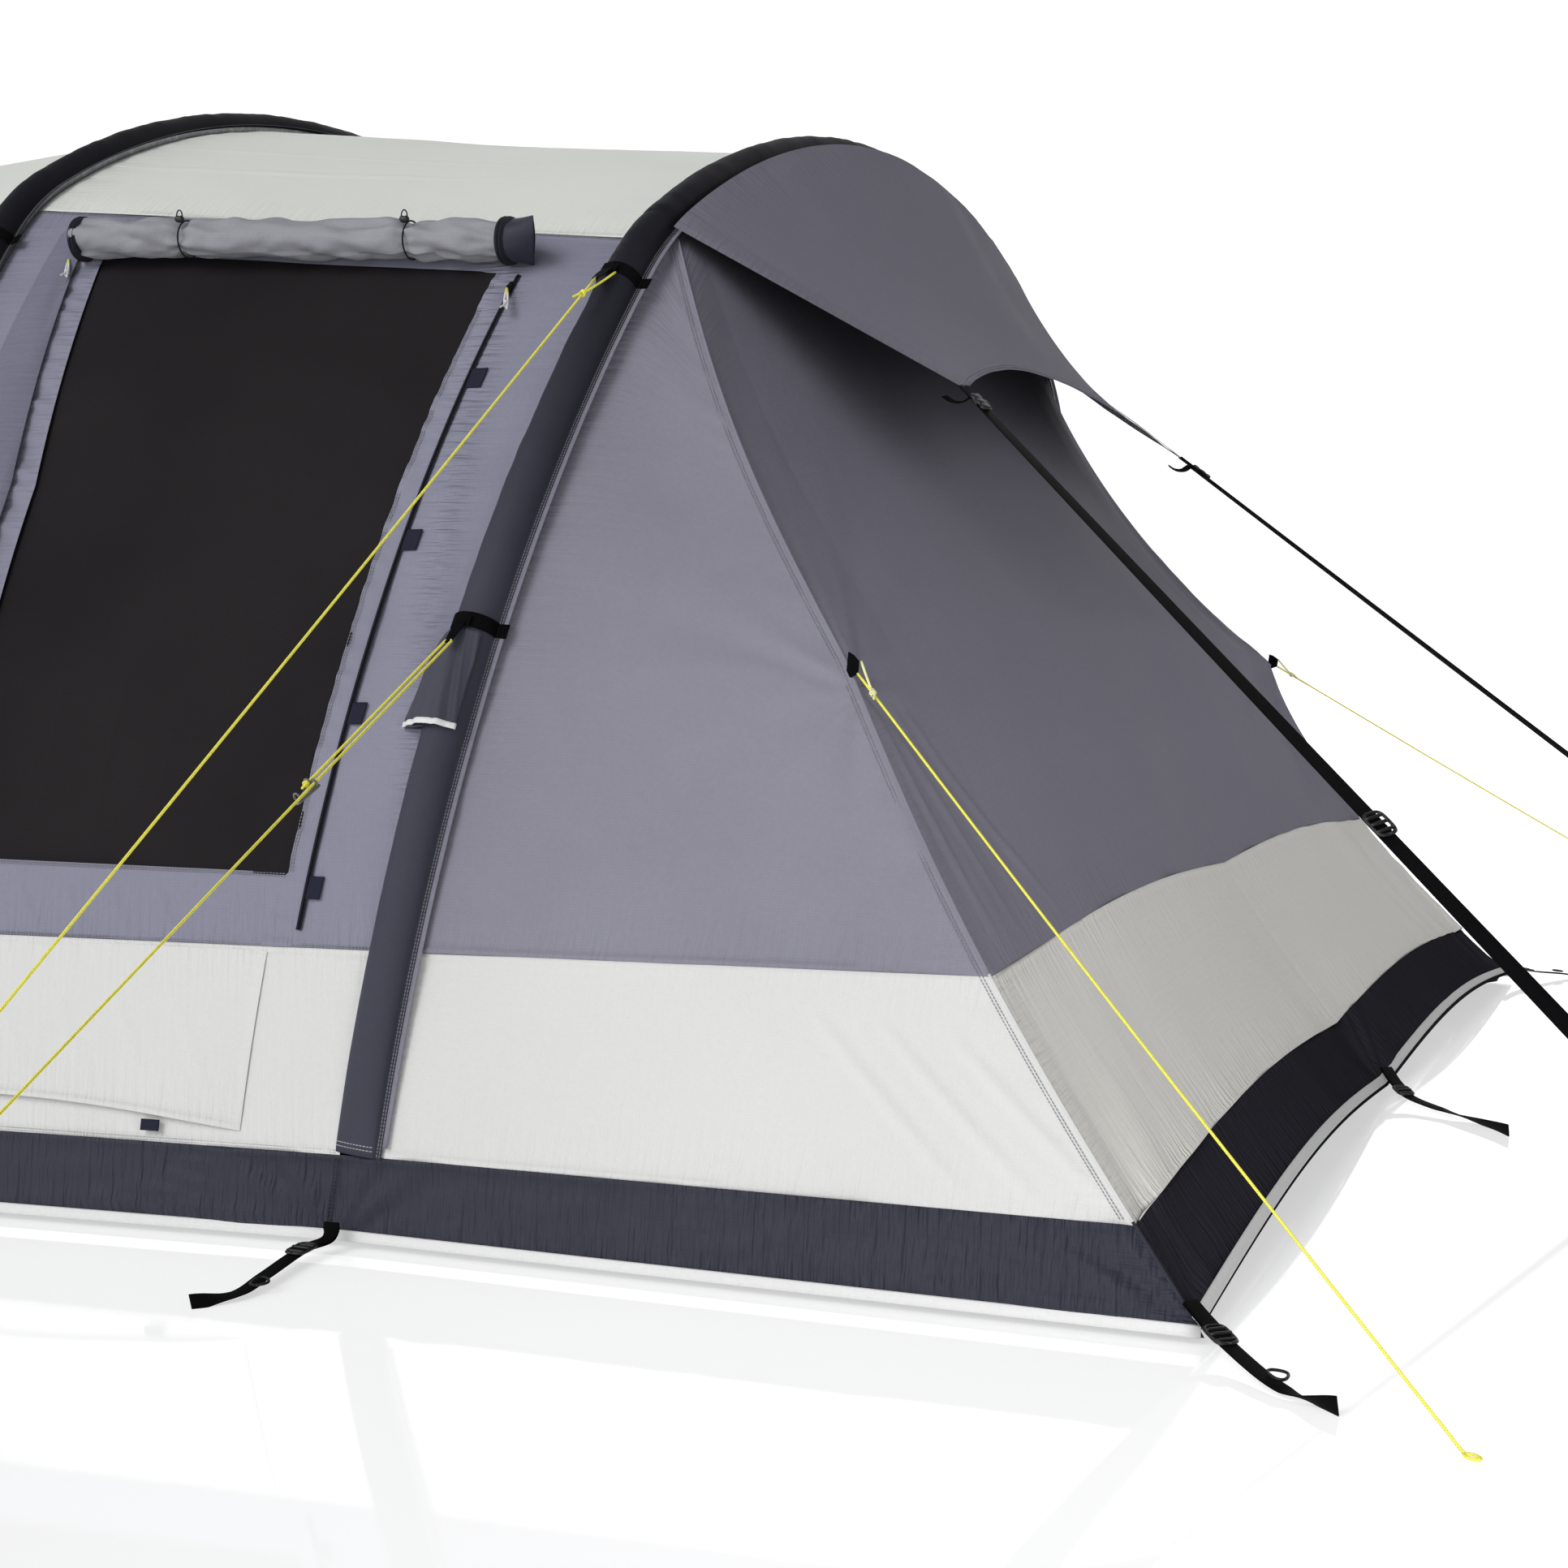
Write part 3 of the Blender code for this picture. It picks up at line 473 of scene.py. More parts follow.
def rays(a, b, a0, b0, facing, seed, height, count, reach):
    """Folds that fan out from a pulled point."""
    far = np.hypot(a - a0, b - b0)
    turn = (np.arctan2(b - b0, a - a0) - facing + pi) % (2 * pi) - pi
    fold = noise1(turn * count / pi + 40, seed)
    return height * fold * (1 - np.exp(-far / 0.03)) * np.exp(-far / reach)


def crease(a, b, start, end, width, height):
    """One long fold from start to end, fading out at both."""
    (a0, b0), (a1, b1) = start, end
    span = np.hypot(a1 - a0, b1 - b0)
    t = ((a - a0) * (a1 - a0) + (b - b0) * (b1 - b0)) / span**2
    off = ((a - a0) * (b1 - b0) - (b - b0) * (a1 - a0)) / span
    shape = (1 - (off / width) ** 2) * np.exp(-((off / width) ** 2))
    return height * shape * np.sin(pi * np.clip(t, 0, 1)) ** 0.7


def drape(a, b, seed, height=0.0016, size=0.22):
    """The slight unevenness of cloth that is pulled tight."""
    large = noise2(a / size + 7, b / size + 3, seed)
    small = noise2(a / (size * 0.33) + 5, b / (size * 0.33) + 9, seed + 1)
    return height * (large + 0.3 * small)


def cloth(name, material, surface, us, vs, shape=None, keep=None, lift=0.0, body="tent", pulled=(), **held):
    """A cloth panel over surface(U, V); shape(a, b, A, B) is its relief, in metres.

    a and b run along its rows and up its columns, and A and B are their whole lengths.
    """
    across, up = np.meshgrid(us, vs)
    points = surface(across, up)
    a, b = lengths(points, 1), lengths(points, 0)
    whole_a, whole_b = a[:, -1:] + 0 * a, b[-1:, :] + 0 * b
    out, sign = normals(points)
    sewn_down = np.clip(np.minimum(a, whole_a - a) / 0.02, 0, 1)
    relief = lift + (shape(a, b, whole_a, whole_b) * sewn_down if shape else 0.0)
    points = points + out * (relief + np.zeros_like(a))[..., None]
    uvs = flat_uvs(a, b)
    faces = grid_faces(*across.shape, keep)
    if sign < 0:
        faces = faces[:, ::-1]
    flat, uvs, faces = compact(points.reshape(-1, 3), uvs, faces)
    thing = build(name, flat, faces, uvs, material, body)
    seam_gathers(thing, uvs, whole_a.max(), whole_b.max(), pulled)
    sewn(thing, **held)
    return thing


def seam_gathers(thing, uvs, wide, high, pulled=()):
    """How strongly the cloth is gathered: towards the seams along its rows, and along its columns.

    Pulled lists more columns that gather it, as shares of its width.
    """
    for name, place, whole in (("row_gathers", uvs[:, 1], high), ("column_gathers", uvs[:, 0], wide)):
        near = np.exp(-place / 0.05) + np.exp(-np.maximum(whole - place, 0) / 0.05)
        for column in pulled if name == "column_gathers" else ():
            near += 2.2 * np.exp(-((place - column * whole) / 0.035) ** 2)
        layer = thing.data.attributes.new(name, "FLOAT", "POINT")
        layer.data.foreach_set("value", near.astype(np.float32))


def sewn(thing, replaces=None, slot=None, rests_on=(), held="stretched"):
    """Hides the CAD part that a panel replaces."""
    if replaces:
        stands_for(replaces)


def sweep(name, path, section, material, ups=None, sizes=None, body="tent", smooth=True):
    """A closed section swept along a path, its second axis near ups, with closed ends."""
    path = np.asarray(path, float)
    along = unit(np.gradient(path, axis=0))
    if ups is None:
        ups = [np.cross(along[0], [0.31, 0.87, 0.38])]
        for t in along[1:]:
            ups.append(ups[-1] - t * np.dot(ups[-1], t))
    ups = np.broadcast_to(np.asarray(ups, float), path.shape)
    side = unit(np.cross(along, ups))
    up = np.cross(side, along)
    section = np.asarray(section, float)
    sizes = np.ones(len(path)) if sizes is None else np.asarray(sizes)
    offset = side[:, None] * section[None, :, :1] + up[:, None] * section[None, :, 1:]
    points = path[:, None] + offset * sizes[:, None, None]
    length = lengths(path[None], 1)[0]
    round_it = lengths(np.vstack([section, section[:1]])[None], 1)[0][:-1]
    uvs = flat_uvs(length[:, None], round_it[None])
    return build(name, points.reshape(-1, 3), tube_faces(*points.shape[:2]), uvs, material, body, smooth)


def ring(radius, sides=10):
    turn = np.arange(sides) * 2 * pi / sides
    return radius * np.stack([np.cos(turn), np.sin(turn)], 1)


def strip(width, thickness):
    """A webbing's section: flat, with round edges."""
    w, t = width / 2, thickness / 2
    return [(-w, 0), (-w + t, t), (w - t, t), (w, 0), (w - t, -t), (-w + t, -t)]


def square_up(along):
    """The direction square to a line that is most nearly up."""
    return unit(Z - along * along[2])


def curve_through(points, count):
    """An even, smooth line through a few points."""
    points = np.asarray(points, float)
    padded = np.vstack([2 * points[0] - points[1], points, 2 * points[-1] - points[-2]])
    line = []
    for p0, p1, p2, p3 in zip(padded, padded[1:], padded[2:], padded[3:], strict=False):
        for t in np.linspace(0, 1, 12, endpoint=False):
            line.append(0.5 * (2 * p1 + (p2 - p0) * t + (2 * p0 - 5 * p1 + 4 * p2 - p3) * t**2
                               + (3 * p1 - p0 - 3 * p2 + p3) * t**3))
    line = np.array([*line, points[-1]])
    far = lengths(line[None], 1)[0]
    even = np.linspace(0, far[-1], count)
    return np.stack([np.interp(even, far, line[:, k]) for k in range(3)], 1)


def oval(centre, across, up, wide, high, turn):
    """Points round a centre: wide and high are its half sizes along two directions."""
    return centre + across * (wide * np.cos(turn))[:, None] + up * (high * np.sin(turn))[:, None]


def join(name, things):
    """Several meshes as one object."""
    bpy.ops.object.select_all(action="DESELECT")
    for thing in things:
        thing.select_set(True)
    bpy.context.view_layer.objects.active = things[0]
    bpy.ops.object.join()
    things[0].name = name
    return things[0]


# ---- finishes -----------------------------------------------------------------------------------
THREAD_PITCH = 0.00075                       # two threads of the woven cloth


def shader_of(name, roughness=0.6, specular=0.5, sheen=0.0):
    material = bpy.data.materials.new(name)
    material.use_nodes = True
    shader = material.node_tree.nodes["Principled BSDF"]
    shader.inputs["Roughness"].default_value = roughness
    shader.inputs["Specular IOR Level"].default_value = specular
    shader.inputs["Sheen Weight"].default_value = sheen
    return material, shader, Nodes(material.node_tree)


def fabric(name, colour, roughness=0.55, grid=0.0048, sheen=0.03, specular=0.14, grid_tint=0.10,
           depth=0.00022, mottle=0.07, grain=0.12, gathers=0.004, painted_corner_shade=0.0, painted_shade_upwards=None):
    """Woven polyester with a ripstop grid: threads, a raised grid, and uneven dye and coating.

    Gathers is the height of the folds beside its seams. Of the last two arguments, the first paints
    shade: ambient occlusion darkens the colour in corners and under overhangs. The second, (low,
    high, least), paints shade too: it darkens the colour upwards.
    """
    material, shader, nodes = shader_of(name, roughness, specular, sheen)
    split = nodes.cloth_uv()
    lines, threads = [], []
    for axis in (0, 1):
        along = split.outputs[axis]
        saw = nodes.math("PINGPONG", along, grid / 2)
        lines.append(nodes.add("MapRange", {0: saw, 1: 0.0, 2: grid * 0.12, 3: 1.0, 4: 0.0}))
        threads.append(nodes.math("SINE", nodes.math("MULTIPLY", along, 2 * pi / THREAD_PITCH)))
    rip = nodes.math("MAXIMUM", *lines)
    cross = nodes.math("MULTIPLY", *threads)
    place = nodes.place()
    broad = nodes.add("TexNoise", {"Vector": place, "Scale": 3.1, "Detail": 5.0, "Roughness": 0.6})
    fine = nodes.add("TexNoise", {"Vector": place, "Scale": 140.0, "Detail": 3.0})
    tone = nodes.add("MapRange", {0: broad, 1: 0.25, 2: 0.75, 3: 1 - mottle, 4: 1 + mottle})
    tone = nodes.math("ADD", tone, nodes.math("MULTIPLY", nodes.math("SUBTRACT", fine, 0.5), grain))
    tone = nodes.math("ADD", tone, nodes.math("MULTIPLY", rip, grid_tint))
    # Painted shade: ambient occlusion darkens the colour in corners and under overhangs.
    if painted_corner_shade:
        open_air = nodes.add("AmbientOcclusion", {"Distance": 0.55}).outputs["AO"]
        left = nodes.add("MapRange", {0: open_air, 1: 0.2, 2: 0.8, 3: 1 - painted_corner_shade, 4: 1.0})
        tone = nodes.math("MULTIPLY", tone, left)
    # Painted shade: the colour darkens with height, where less light falls on the upper parts.
    if painted_shade_upwards:
        low, high, least = painted_shade_upwards
        height = nodes.add("SeparateXYZ", {0: place}).outputs[2]
        left = nodes.add("MapRange", {0: height, 1: low, 2: high, 3: 1.0, 4: least})
        tone = nodes.math("MULTIPLY", tone, left)
    nodes.tint(shader, colour, tone)
    rough = nodes.add("MapRange", {0: broad, 1: 0.3, 2: 0.7, 3: roughness - 0.06, 4: roughness + 0.08})
    nodes.feed(shader.inputs["Roughness"], rough)
    height = nodes.math("ADD", nodes.math("MULTIPLY", cross, 0.25), rip)
    height = nodes.math("ADD", height, nodes.math("MULTIPLY", fine, 0.8))
    bump = nodes.add("Bump", {"Strength": 0.55, "Distance": depth, "Height": height})
    folds = None
    for kind, stretch in (("row_gathers", (95.0, 9.0, 1.0)), ("column_gathers", (9.0, 95.0, 1.0))):
        across = nodes.add("UVMap", uv_map="cloth")
        along = nodes.add("VectorMath", {0: across, 1: stretch}, operation="MULTIPLY")
        ridges = nodes.add("TexNoise", {"Vector": along.outputs[0], "Scale": 1.0, "Detail": 2.0})
        near = nodes.add("Attribute", attribute_name=kind).outputs["Fac"]
        fold = nodes.math("MULTIPLY", ridges, nodes.math("ADD", near, 0.06))
        folds = fold if folds is None else nodes.math("ADD", folds, fold)
    pulled = nodes.add("Bump", {"Strength": 1.0, "Distance": gathers, "Height": folds, "Normal": bump})
    nodes.feed(shader.inputs["Normal"], pulled)
    return material


def woven(name, colour, rib=0.0021, across=0.0042, roughness=0.6, sheen=0.03, depth=0.0005, specular=0.2):
    """Webbing and cord: ribs along U, broken by the weave across them."""
    material, shader, nodes = shader_of(name, roughness, specular, sheen)
    split = nodes.cloth_uv()
    waves = []
    for axis, size in ((0, rib), (1, across)):
        turn = nodes.math("MULTIPLY", split.outputs[axis], 2 * pi / size)
        waves.append(nodes.math("SINE", turn))
    cross = nodes.math("MULTIPLY", *waves)
    tone = nodes.add("MapRange", {0: cross, 1: -1.0, 2: 1.0, 3: 0.72, 4: 1.25})
    fuzz = nodes.add("TexNoise", {"Vector": nodes.place(), "Scale": 260.0})
    tone = nodes.math("MULTIPLY", tone, nodes.add("MapRange", {0: fuzz, 3: 0.75, 4: 1.25}))
    nodes.tint(shader, colour, tone)
    height = nodes.math("ADD", cross, fuzz)
    nodes.bump(shader, height, depth)
    return material


def moulded(name, colour, roughness=0.42, metallic=0.0):
    """Moulded nylon or painted wire: a fine spark-eroded grain, with duller worn spots."""
    material, shader, nodes = shader_of(name, roughness, 0.5)
    place = nodes.place()
    grain = nodes.add("TexNoise", {"Vector": place, "Scale": 900.0, "Detail": 3.0})
    wear = nodes.add("TexNoise", {"Vector": place, "Scale": 60.0, "Detail": 4.0})
    worn = nodes.mix(nodes.add("MapRange", {0: wear, 1: 0.45, 2: 0.7}), colour,
                     (*[c * 1.5 + 0.004 for c in colour[:3]], 1))
    nodes.feed(shader.inputs["Base Color"], worn)
    rough = nodes.add("MapRange", {0: wear, 3: roughness - 0.08, 4: roughness + 0.14})
    nodes.feed(shader.inputs["Roughness"], rough)
    shader.inputs["Metallic"].default_value = metallic
    nodes.bump(shader, grain, 0.00015)
    return material


def netting(name, colour):
    """Opaque fine dark mesh: a lattice of threads; the near-black holes are painted shade of the inside."""
    material, shader, nodes = shader_of(name, 0.6, 0.05, 0.0)
    split = nodes.cloth_uv()
    lines = []
    for axis in (0, 1):
        saw = nodes.math("PINGPONG", split.outputs[axis], 0.0011)
        lines.append(nodes.add("MapRange", {0: saw, 1: 0.0003, 2: 0.0006, 3: 1.0, 4: 0.0}))
    net = nodes.math("MAXIMUM", *lines)
    broad = nodes.add("TexNoise", {"Vector": nodes.place(), "Scale": 2.2, "Detail": 3.0})
    tone = nodes.math("MULTIPLY", nodes.math("ADD", nodes.math("MULTIPLY", net, 0.55), 0.72),
                      nodes.add("MapRange", {0: broad, 1: 0.3, 2: 0.7, 3: 0.8, 4: 1.2}))
    nodes.tint(shader, colour, tone)
    nodes.bump(shader, net, 0.0003)
    return material


def puller_material():
    """Cord that is yellow at the slider and white below."""
    material, shader, nodes = shader_of("puller", 0.5)
    along = nodes.cloth_uv().outputs[0]
    share = nodes.add("MapRange", {0: along, 1: 0.010, 2: 0.020})
    nodes.feed(shader.inputs["Base Color"], nodes.mix(share, linear(226, 216, 60), linear(226, 226, 228)))
    ribs = nodes.math("SINE", nodes.math("MULTIPLY", along, 2 * pi / 0.002))
    nodes.bump(shader, ribs, 0.0004)
    return material


PALE = {"grid_tint": 0.015, "mottle": 0.02, "sheen": 0.05, "grain": 0.04}
ROOF = fabric("roof_cloth", linear(222, 224, 217), 0.42, **PALE)
WALL = fabric("wall_cloth", linear(127, 127, 143), gathers=0.006)
END = fabric("end_side_cloth", linear(128, 126, 138))
# The end wall is the end sides' cloth; its nodes darken the colour as painted shade, in corners, under the
# hood and upwards.
END_WALL = fabric("end_wall_cloth", linear(133, 130, 143), specular=0.03, sheen=0.0, painted_corner_shade=0.75,
                  painted_shade_upwards=(0.7, 1.55, 0.58))
# The hood is the end sides' cloth too, its colour set darker as painted shade.
HOOD = fabric("hood_cloth", linear(122, 119, 131), specular=0.03, sheen=0.0)
LIGHT = fabric("light_cloth", linear(206, 206, 204), 0.45, **PALE)
# The end's pale band is LIGHT's cloth, set brighter as painted light, standing in for light shining through
# it.
LIGHT_END = fabric("end_light_cloth", linear(232, 229, 223), 0.45,
                   **{**PALE, "mottle": 0.04, "sheen": 0.0}, gathers=0.008)
DARK_END = fabric("end_dark_cloth", linear(47, 46, 53), 0.5, grid_tint=0.16, specular=0.0, sheen=0.0,
                  gathers=0.012)
DARK = fabric("dark_cloth", linear(47, 48, 59), 0.42, grid_tint=0.16, specular=0.16, sheen=0.0,
              gathers=0.014)
# Sleeves darken upwards as painted shade, for the dimmer light their tops catch.
SLEEVE = fabric("sleeve_cloth", linear(64, 64, 75), 0.5, grid=0.0032, grid_tint=0.18, depth=0.0003,
                specular=0.05, sheen=0.0, painted_shade_upwards=(1.0, 1.65, 0.22))
# The window net is an opaque sheet: its dark colour is partly the net's own black, partly painted shade of
# the tent's inside.
MESH = netting("window_net", linear(33, 30, 32))
GROUND = fabric("groundsheet_cloth", linear(88, 92, 98), 0.6, grid=0.006)
# The rain flap is the wall's cloth, set darker as painted shade of the flap turned away from the light.
RAIN = fabric("rain_flap_cloth", linear(108, 108, 124))
BLIND = fabric("blind_cloth", linear(139, 139, 145), 0.5)
POCKET = fabric("pocket_cloth", linear(66, 66, 78), 0.5, grid=0.0032, grid_tint=0.12)
BINDING = fabric("binding_tape", linear(214, 214, 213), 0.55, grid=0.0025, mottle=0.03)
HEM_TAPE = fabric("hem_tape", linear(214, 214, 214), 0.55, grid=0.0025, mottle=0.03)
EDGE_TAPE = fabric("edge_tape", linear(118, 116, 128), 0.55, grid=0.002, grid_tint=0.35, grain=0.4)
HOOK_PILE = fabric("hook_pile", linear(36, 38, 54), 0.8, grid=0.0016, grid_tint=0.3, sheen=0.0,
                   depth=0.0008)
WEBBING = woven("black_webbing", linear(11, 11, 13), specular=0.04, sheen=0.0)
CORD = woven("yellow_cord", linear(246, 238, 92), rib=0.0036, across=0.0031, roughness=0.45, depth=0.0003)
PALE_CORD = woven("pale_cord", linear(240, 238, 176), rib=0.0036, across=0.0031, roughness=0.45, depth=0.0003)
ELASTIC = woven("black_elastic", linear(26, 26, 29), rib=0.002, across=0.002)
WHITE_CORD = woven("puller_cord", linear(228, 228, 226), rib=0.003, across=0.003)
PLASTIC = moulded("black_nylon", linear(18, 18, 20))
GREY_PLASTIC = moulded("grey_nylon", linear(98, 98, 95))
FILM = moulded("air_beam_film", linear(196, 198, 201), 0.3)
WIRE = moulded("black_wire", linear(30, 30, 32), 0.35, 0.7)
THREAD = woven("pale_thread", linear(206, 206, 208), rib=0.001, across=0.001)
BLACK_THREAD = woven("black_thread", linear(34, 34, 42), rib=0.001, across=0.001)
DARK_THREAD = woven("grey_thread", linear(156, 156, 164), rib=0.001, across=0.001)
ZIP_TAPE = woven("zip_tape", linear(30, 30, 44), rib=0.0018, across=0.0018)
COIL = woven("zip_coil", linear(28, 28, 36), rib=0.0022, across=0.006, roughness=0.35, sheen=0.0,
             depth=0.0012)
PULLER = puller_material()


# ---- cords and straps ------------------------------------------------------------------------------
CORD_RADIUS, WEBBING_WIDTH = 0.002, 0.025
CORD_DROPS, STANDOFF = {"upper": 0.040, "middle": 0.045}, 0.064
RUNNER_PLACE, STRAND_GAP = 0.23, 0.012
UPPER_START, MIDDLE_START = (
    rear_arch_xyz(GUY_BAND_HEIGHTS[name] - drop, NEAR, STANDOFF) for name, drop in CORD_DROPS.items()
)
RUNNER = lerp(MIDDLE_START, SIDE_PEG, RUNNER_PLACE)
STRAP_ROLL = radians(45)                     # a whole share of a hood strap's roll
STRAP_ROLLS = {"near": (-0.2, 1.0), "far": (0.05, 0.6)}


def taut(start, end, count, sag=0.006):
    t = np.linspace(0, 1, count + 1)[:, None]
    return lerp(np.asarray(start), np.asarray(end), t) - Z * sag * np.sin(pi * t)


def knot(name, centre, along, material, radius=CORD_RADIUS):
    """An overhand knot round a line, with a short tail."""
    along = unit(np.asarray(along, float))
    side = unit(np.cross(along, [0.3, 0.1, 0.9]))
    up = np.cross(side, along)
    turn = np.linspace(0, 4.4 * pi, 46)
    wide = radius * 1.9
    line = oval(centre, side, up, wide, wide, turn) + along * (np.linspace(-1, 1, 46) * radius * 2.2)[:, None]
    tail = line[-1] + np.linspace(0, 1, 8)[1:, None] * (side * 0.009 + along * 0.012 - up * 0.004)
    return sweep(name, np.vstack([line, tail]), ring(radius, 7), material)


def guyline(node, path):
    """A tight cord in the place of its node."""
    thing = sweep(f"{node}_cord", path, ring(CORD_RADIUS, 10), CORD)
    tuple(path[0])
    stands_for(node)


def ground_loop(name, end, away):
    """The small tied loop at a line's ground end, lying where its peg goes."""
    away = unit(np.asarray(away, float) * [1, 1, 0])
    side = np.cross(Z, away)
    turn = np.linspace(0, 2 * pi, 25)
    loop = oval(end + away * 0.010, away, side, -0.010, 0.006, turn)
    return sweep(name, loop, ring(CORD_RADIUS * 0.95, 7), CORD)


def make_guylines():
    peg = SIDE_PEG + Z * 0.002
    along = unit(peg - UPPER_START)
    tie = UPPER_START + along * 0.052
    band = rear_arch_xyz(GUY_BAND_HEIGHTS["upper"] - 0.014, NEAR, SLEEVE_RADIUS + SLEEVE_LIFT + 0.004)
    twin = taut(band + [0.016, 0, 0.0], tie, 10, 0.001)
    parts = [
        sweep("guyline_upper_twin", twin, ring(CORD_RADIUS, 8), CORD),
        knot("guyline_upper_knot", tie, along, CORD),
        ground_loop("guyline_upper_loop", peg, along),
    ]
    guyline("guyline_upper", taut(UPPER_START, peg, 60))

    half = np.array([STRAND_GAP / 2, 0, 0])
    foot = SIDE_PEG + [0.02, 0, 0.0]
    rise = unit(MIDDLE_START - RUNNER)
    turn = np.linspace(0, pi, 9)[1:-1, None]
    bend = MIDDLE_START - half * np.cos(turn) + rise * (STRAND_GAP / 2) * np.sin(turn)
    path = np.vstack([taut(RUNNER - half, MIDDLE_START - half, 10, 0), bend,
                      taut(MIDDLE_START + half, RUNNER + half, 10, 0), taut(RUNNER + half, foot, 40, 0)[1:]])
    parts = [
        knot("guyline_middle_knot", RUNNER - half + rise * 0.012, rise, CORD),
        ground_loop("guyline_middle_loop", foot, -rise),
    ]
    guyline("guyline_middle", path)

    for name, side in SIDES.items():
        flip = np.array([1, side, 1])
        start = (GUY_POINT + [0.022, 0.014, -0.012]) * flip
        peg = CORNER_PEGS[name]
        along = unit(peg - start)
        tie = start + along * 0.045
        twin = taut((GUY_POINT + [0.026, 0.010, 0.006]) * flip, tie, 8, 0.001)
        label = f"guyline_corner_{name}"
        parts = [
            sweep(f"{label}_twin", twin, ring(CORD_RADIUS, 8), PALE_CORD),
            knot(f"{label}_knot", tie, along, PALE_CORD),
            ground_loop(f"{label}_loop", peg, along),
        ]
        guyline(label, taut(start, peg, 60))


def strap_face(along, side, share):
    """The way a hood strap faces: up, rolled a little outwards by share."""
    up = square_up(along)
    roll = np.atleast_1d(share)[:, None] * STRAP_ROLL
    return up * np.cos(roll) + np.cross(up, along) * np.sin(roll) * np.sign(np.cross(up, along)[1] * side)


def hood_strap_run(side):
    """Where a hood strap starts, its peg, and the direction from one to the other."""
    flip = np.array([1, side, 1])
    corner, peg = (HOOD_CORNER + [0.012, 0.008, -0.010]) * flip, STRAP_PEG * flip
    return corner, peg, unit(peg - corner)


def make_hood_straps():
    """Webbing from the hood's corners to the ground, with a sewn loop for its peg."""
    for name, side in SIDES.items():
        corner, peg, along = hood_strap_run(side)
        line = taut(corner, peg, 50, 0.003)
        up = strap_face(along, side, np.linspace(*STRAP_ROLLS[name], 51))
        strap = sweep(f"hood_strap_{name}_webbing", line, strip(WEBBING_WIDTH, 0.0018), WEBBING, up)
        loop_line = np.array([peg + along * 0.004 + Z * 0.0015, peg - along * 0.05 + Z * 0.001])
        loop = sweep(f"hood_strap_{name}_end", taut(*loop_line, 8, -0.003), strip(0.024, 0.0016),
                     WEBBING, up[-1])
        tuple(corner)
        stands_for(f"hood_strap_{name}")


make_guylines()
make_hood_straps()


# ---- tunnel skin: roofs, walls, lower panels --------------------------------------------------------
STEP = 0.009        # size of a cloth panel's cells where the view is close
COARSE = 0.016


def bay_length(bay):
    return abs(ARCHES[bay[1]][0] - ARCHES[bay[0]][0])


def bay_places(bay, step):
    """Places across a bay, from one sleeve's seam to the other's."""
    edge = SLEEVE_RADIUS - 0.002
    long = bay_length(bay) + (0.30 if bay == REAR_BAY else -0.10)
    inside = long - 2 * edge
    return (edge + places(inside, step) * inside) / long


def eave_height(bay, v):
    """Height, on the unit arch, of the seam between wall and roof: it dips towards the middle arch."""
    return EAVE - (0.006 + 0.015 * (1 - v) if bay == REAR_BAY else 0.021)


def roof_shape(seed):
    """Taut roof cloth: gathers at the sleeves, folds along the tunnel, and a slight dip."""
    def shape(a, b, whole_a, whole_b):
        relief = drape(a, b, seed, 0.0022, 0.3)
        relief += puckers(b, a, seed + 2, 0.0020, 0.024, 0.05)
        relief += puckers(b, whole_a - a, seed + 5, 0.0020, 0.024, 0.05)
        for k, share in enumerate((0.10, 0.17, 0.27, 0.36, 0.64, 0.73, 0.85)):
            line = share * whole_b.max()
            end = (whole_a.max() * 0.75, line + 0.03 * (-1) ** k)
            relief += crease(a, b, (0.02, line), end, 0.012, 0.0028)
        relief -= 0.008 * np.sin(pi * a / whole_a) ** 2
        return relief + hem_height(b) + hem_height(whole_b - b)
    return shape


def make_roofs():
    eave = float(arch_angle(EAVE))
    for name, bay, step, seed in (("rear", REAR_BAY, STEP, 11), ("front", FRONT_BAY, COARSE, 31)):
        scale = ARCHES["middle"][2]
        curve = arch_yz(np.linspace(eave, pi / 2, 200))
        far = np.concatenate([[0], np.cumsum(np.hypot(np.diff(curve[0]), np.diff(curve[1])))]) * scale
        half = places(2 * far[-1], step)
        angle = np.interp(np.minimum(half, 1 - half) * 2 * far[-1], far, np.linspace(eave, pi / 2, 200))

        def surface(v, row, bay=bay, angle=angle, half=half):
            share = (np.interp(row, half, angle) - eave) / (pi / 2 - eave)
            lean = lerp(arch_angle(eave_height(bay, v)), pi / 2, share)
            near, distant = (bay_xyz(bay, v, lean, side) for side in (NEAR, FAR))
            return np.where((row < 0.5)[..., None], near, distant)

        cloth(f"roof_cloth_{name}", ROOF, surface, bay_places(bay, step), half, roof_shape(seed),
              replaces=f"roof_{name}_bay", slot="roof_fabric", rests_on=["sleeve_middle", f"sleeve_{name}"])


def wall_surface(bay, side, low, high):
    """low and high are heights on the unit arch, or below LOWER_TOP plain heights."""
    def surface(v, row):
        scale = lerp(ARCHES[bay[0]][2], ARCHES[bay[1]][2], v)
        top = eave_height(bay, v) * scale if high > 1 else high
        return wall_xyz(bay, v, lerp(low, top, row), side)
    return surface


def wall_shape(seed, gather=0.0018):
    def shape(a, b, whole_a, whole_b):
        relief = drape(a, b, seed, 0.0024, 0.25)
        for k, away in enumerate((a, whole_a - a)):
            relief += puckers(b, away, seed + 3 * k, gather, 0.02, 0.04)
        relief += puckers(a, b, seed + 9, 0.0006, 0.026) + puckers(a, whole_b - b, seed + 12, 0.0007, 0.022)
        return relief + hem_height(b) + hem_height(whole_b - b)
    return shape


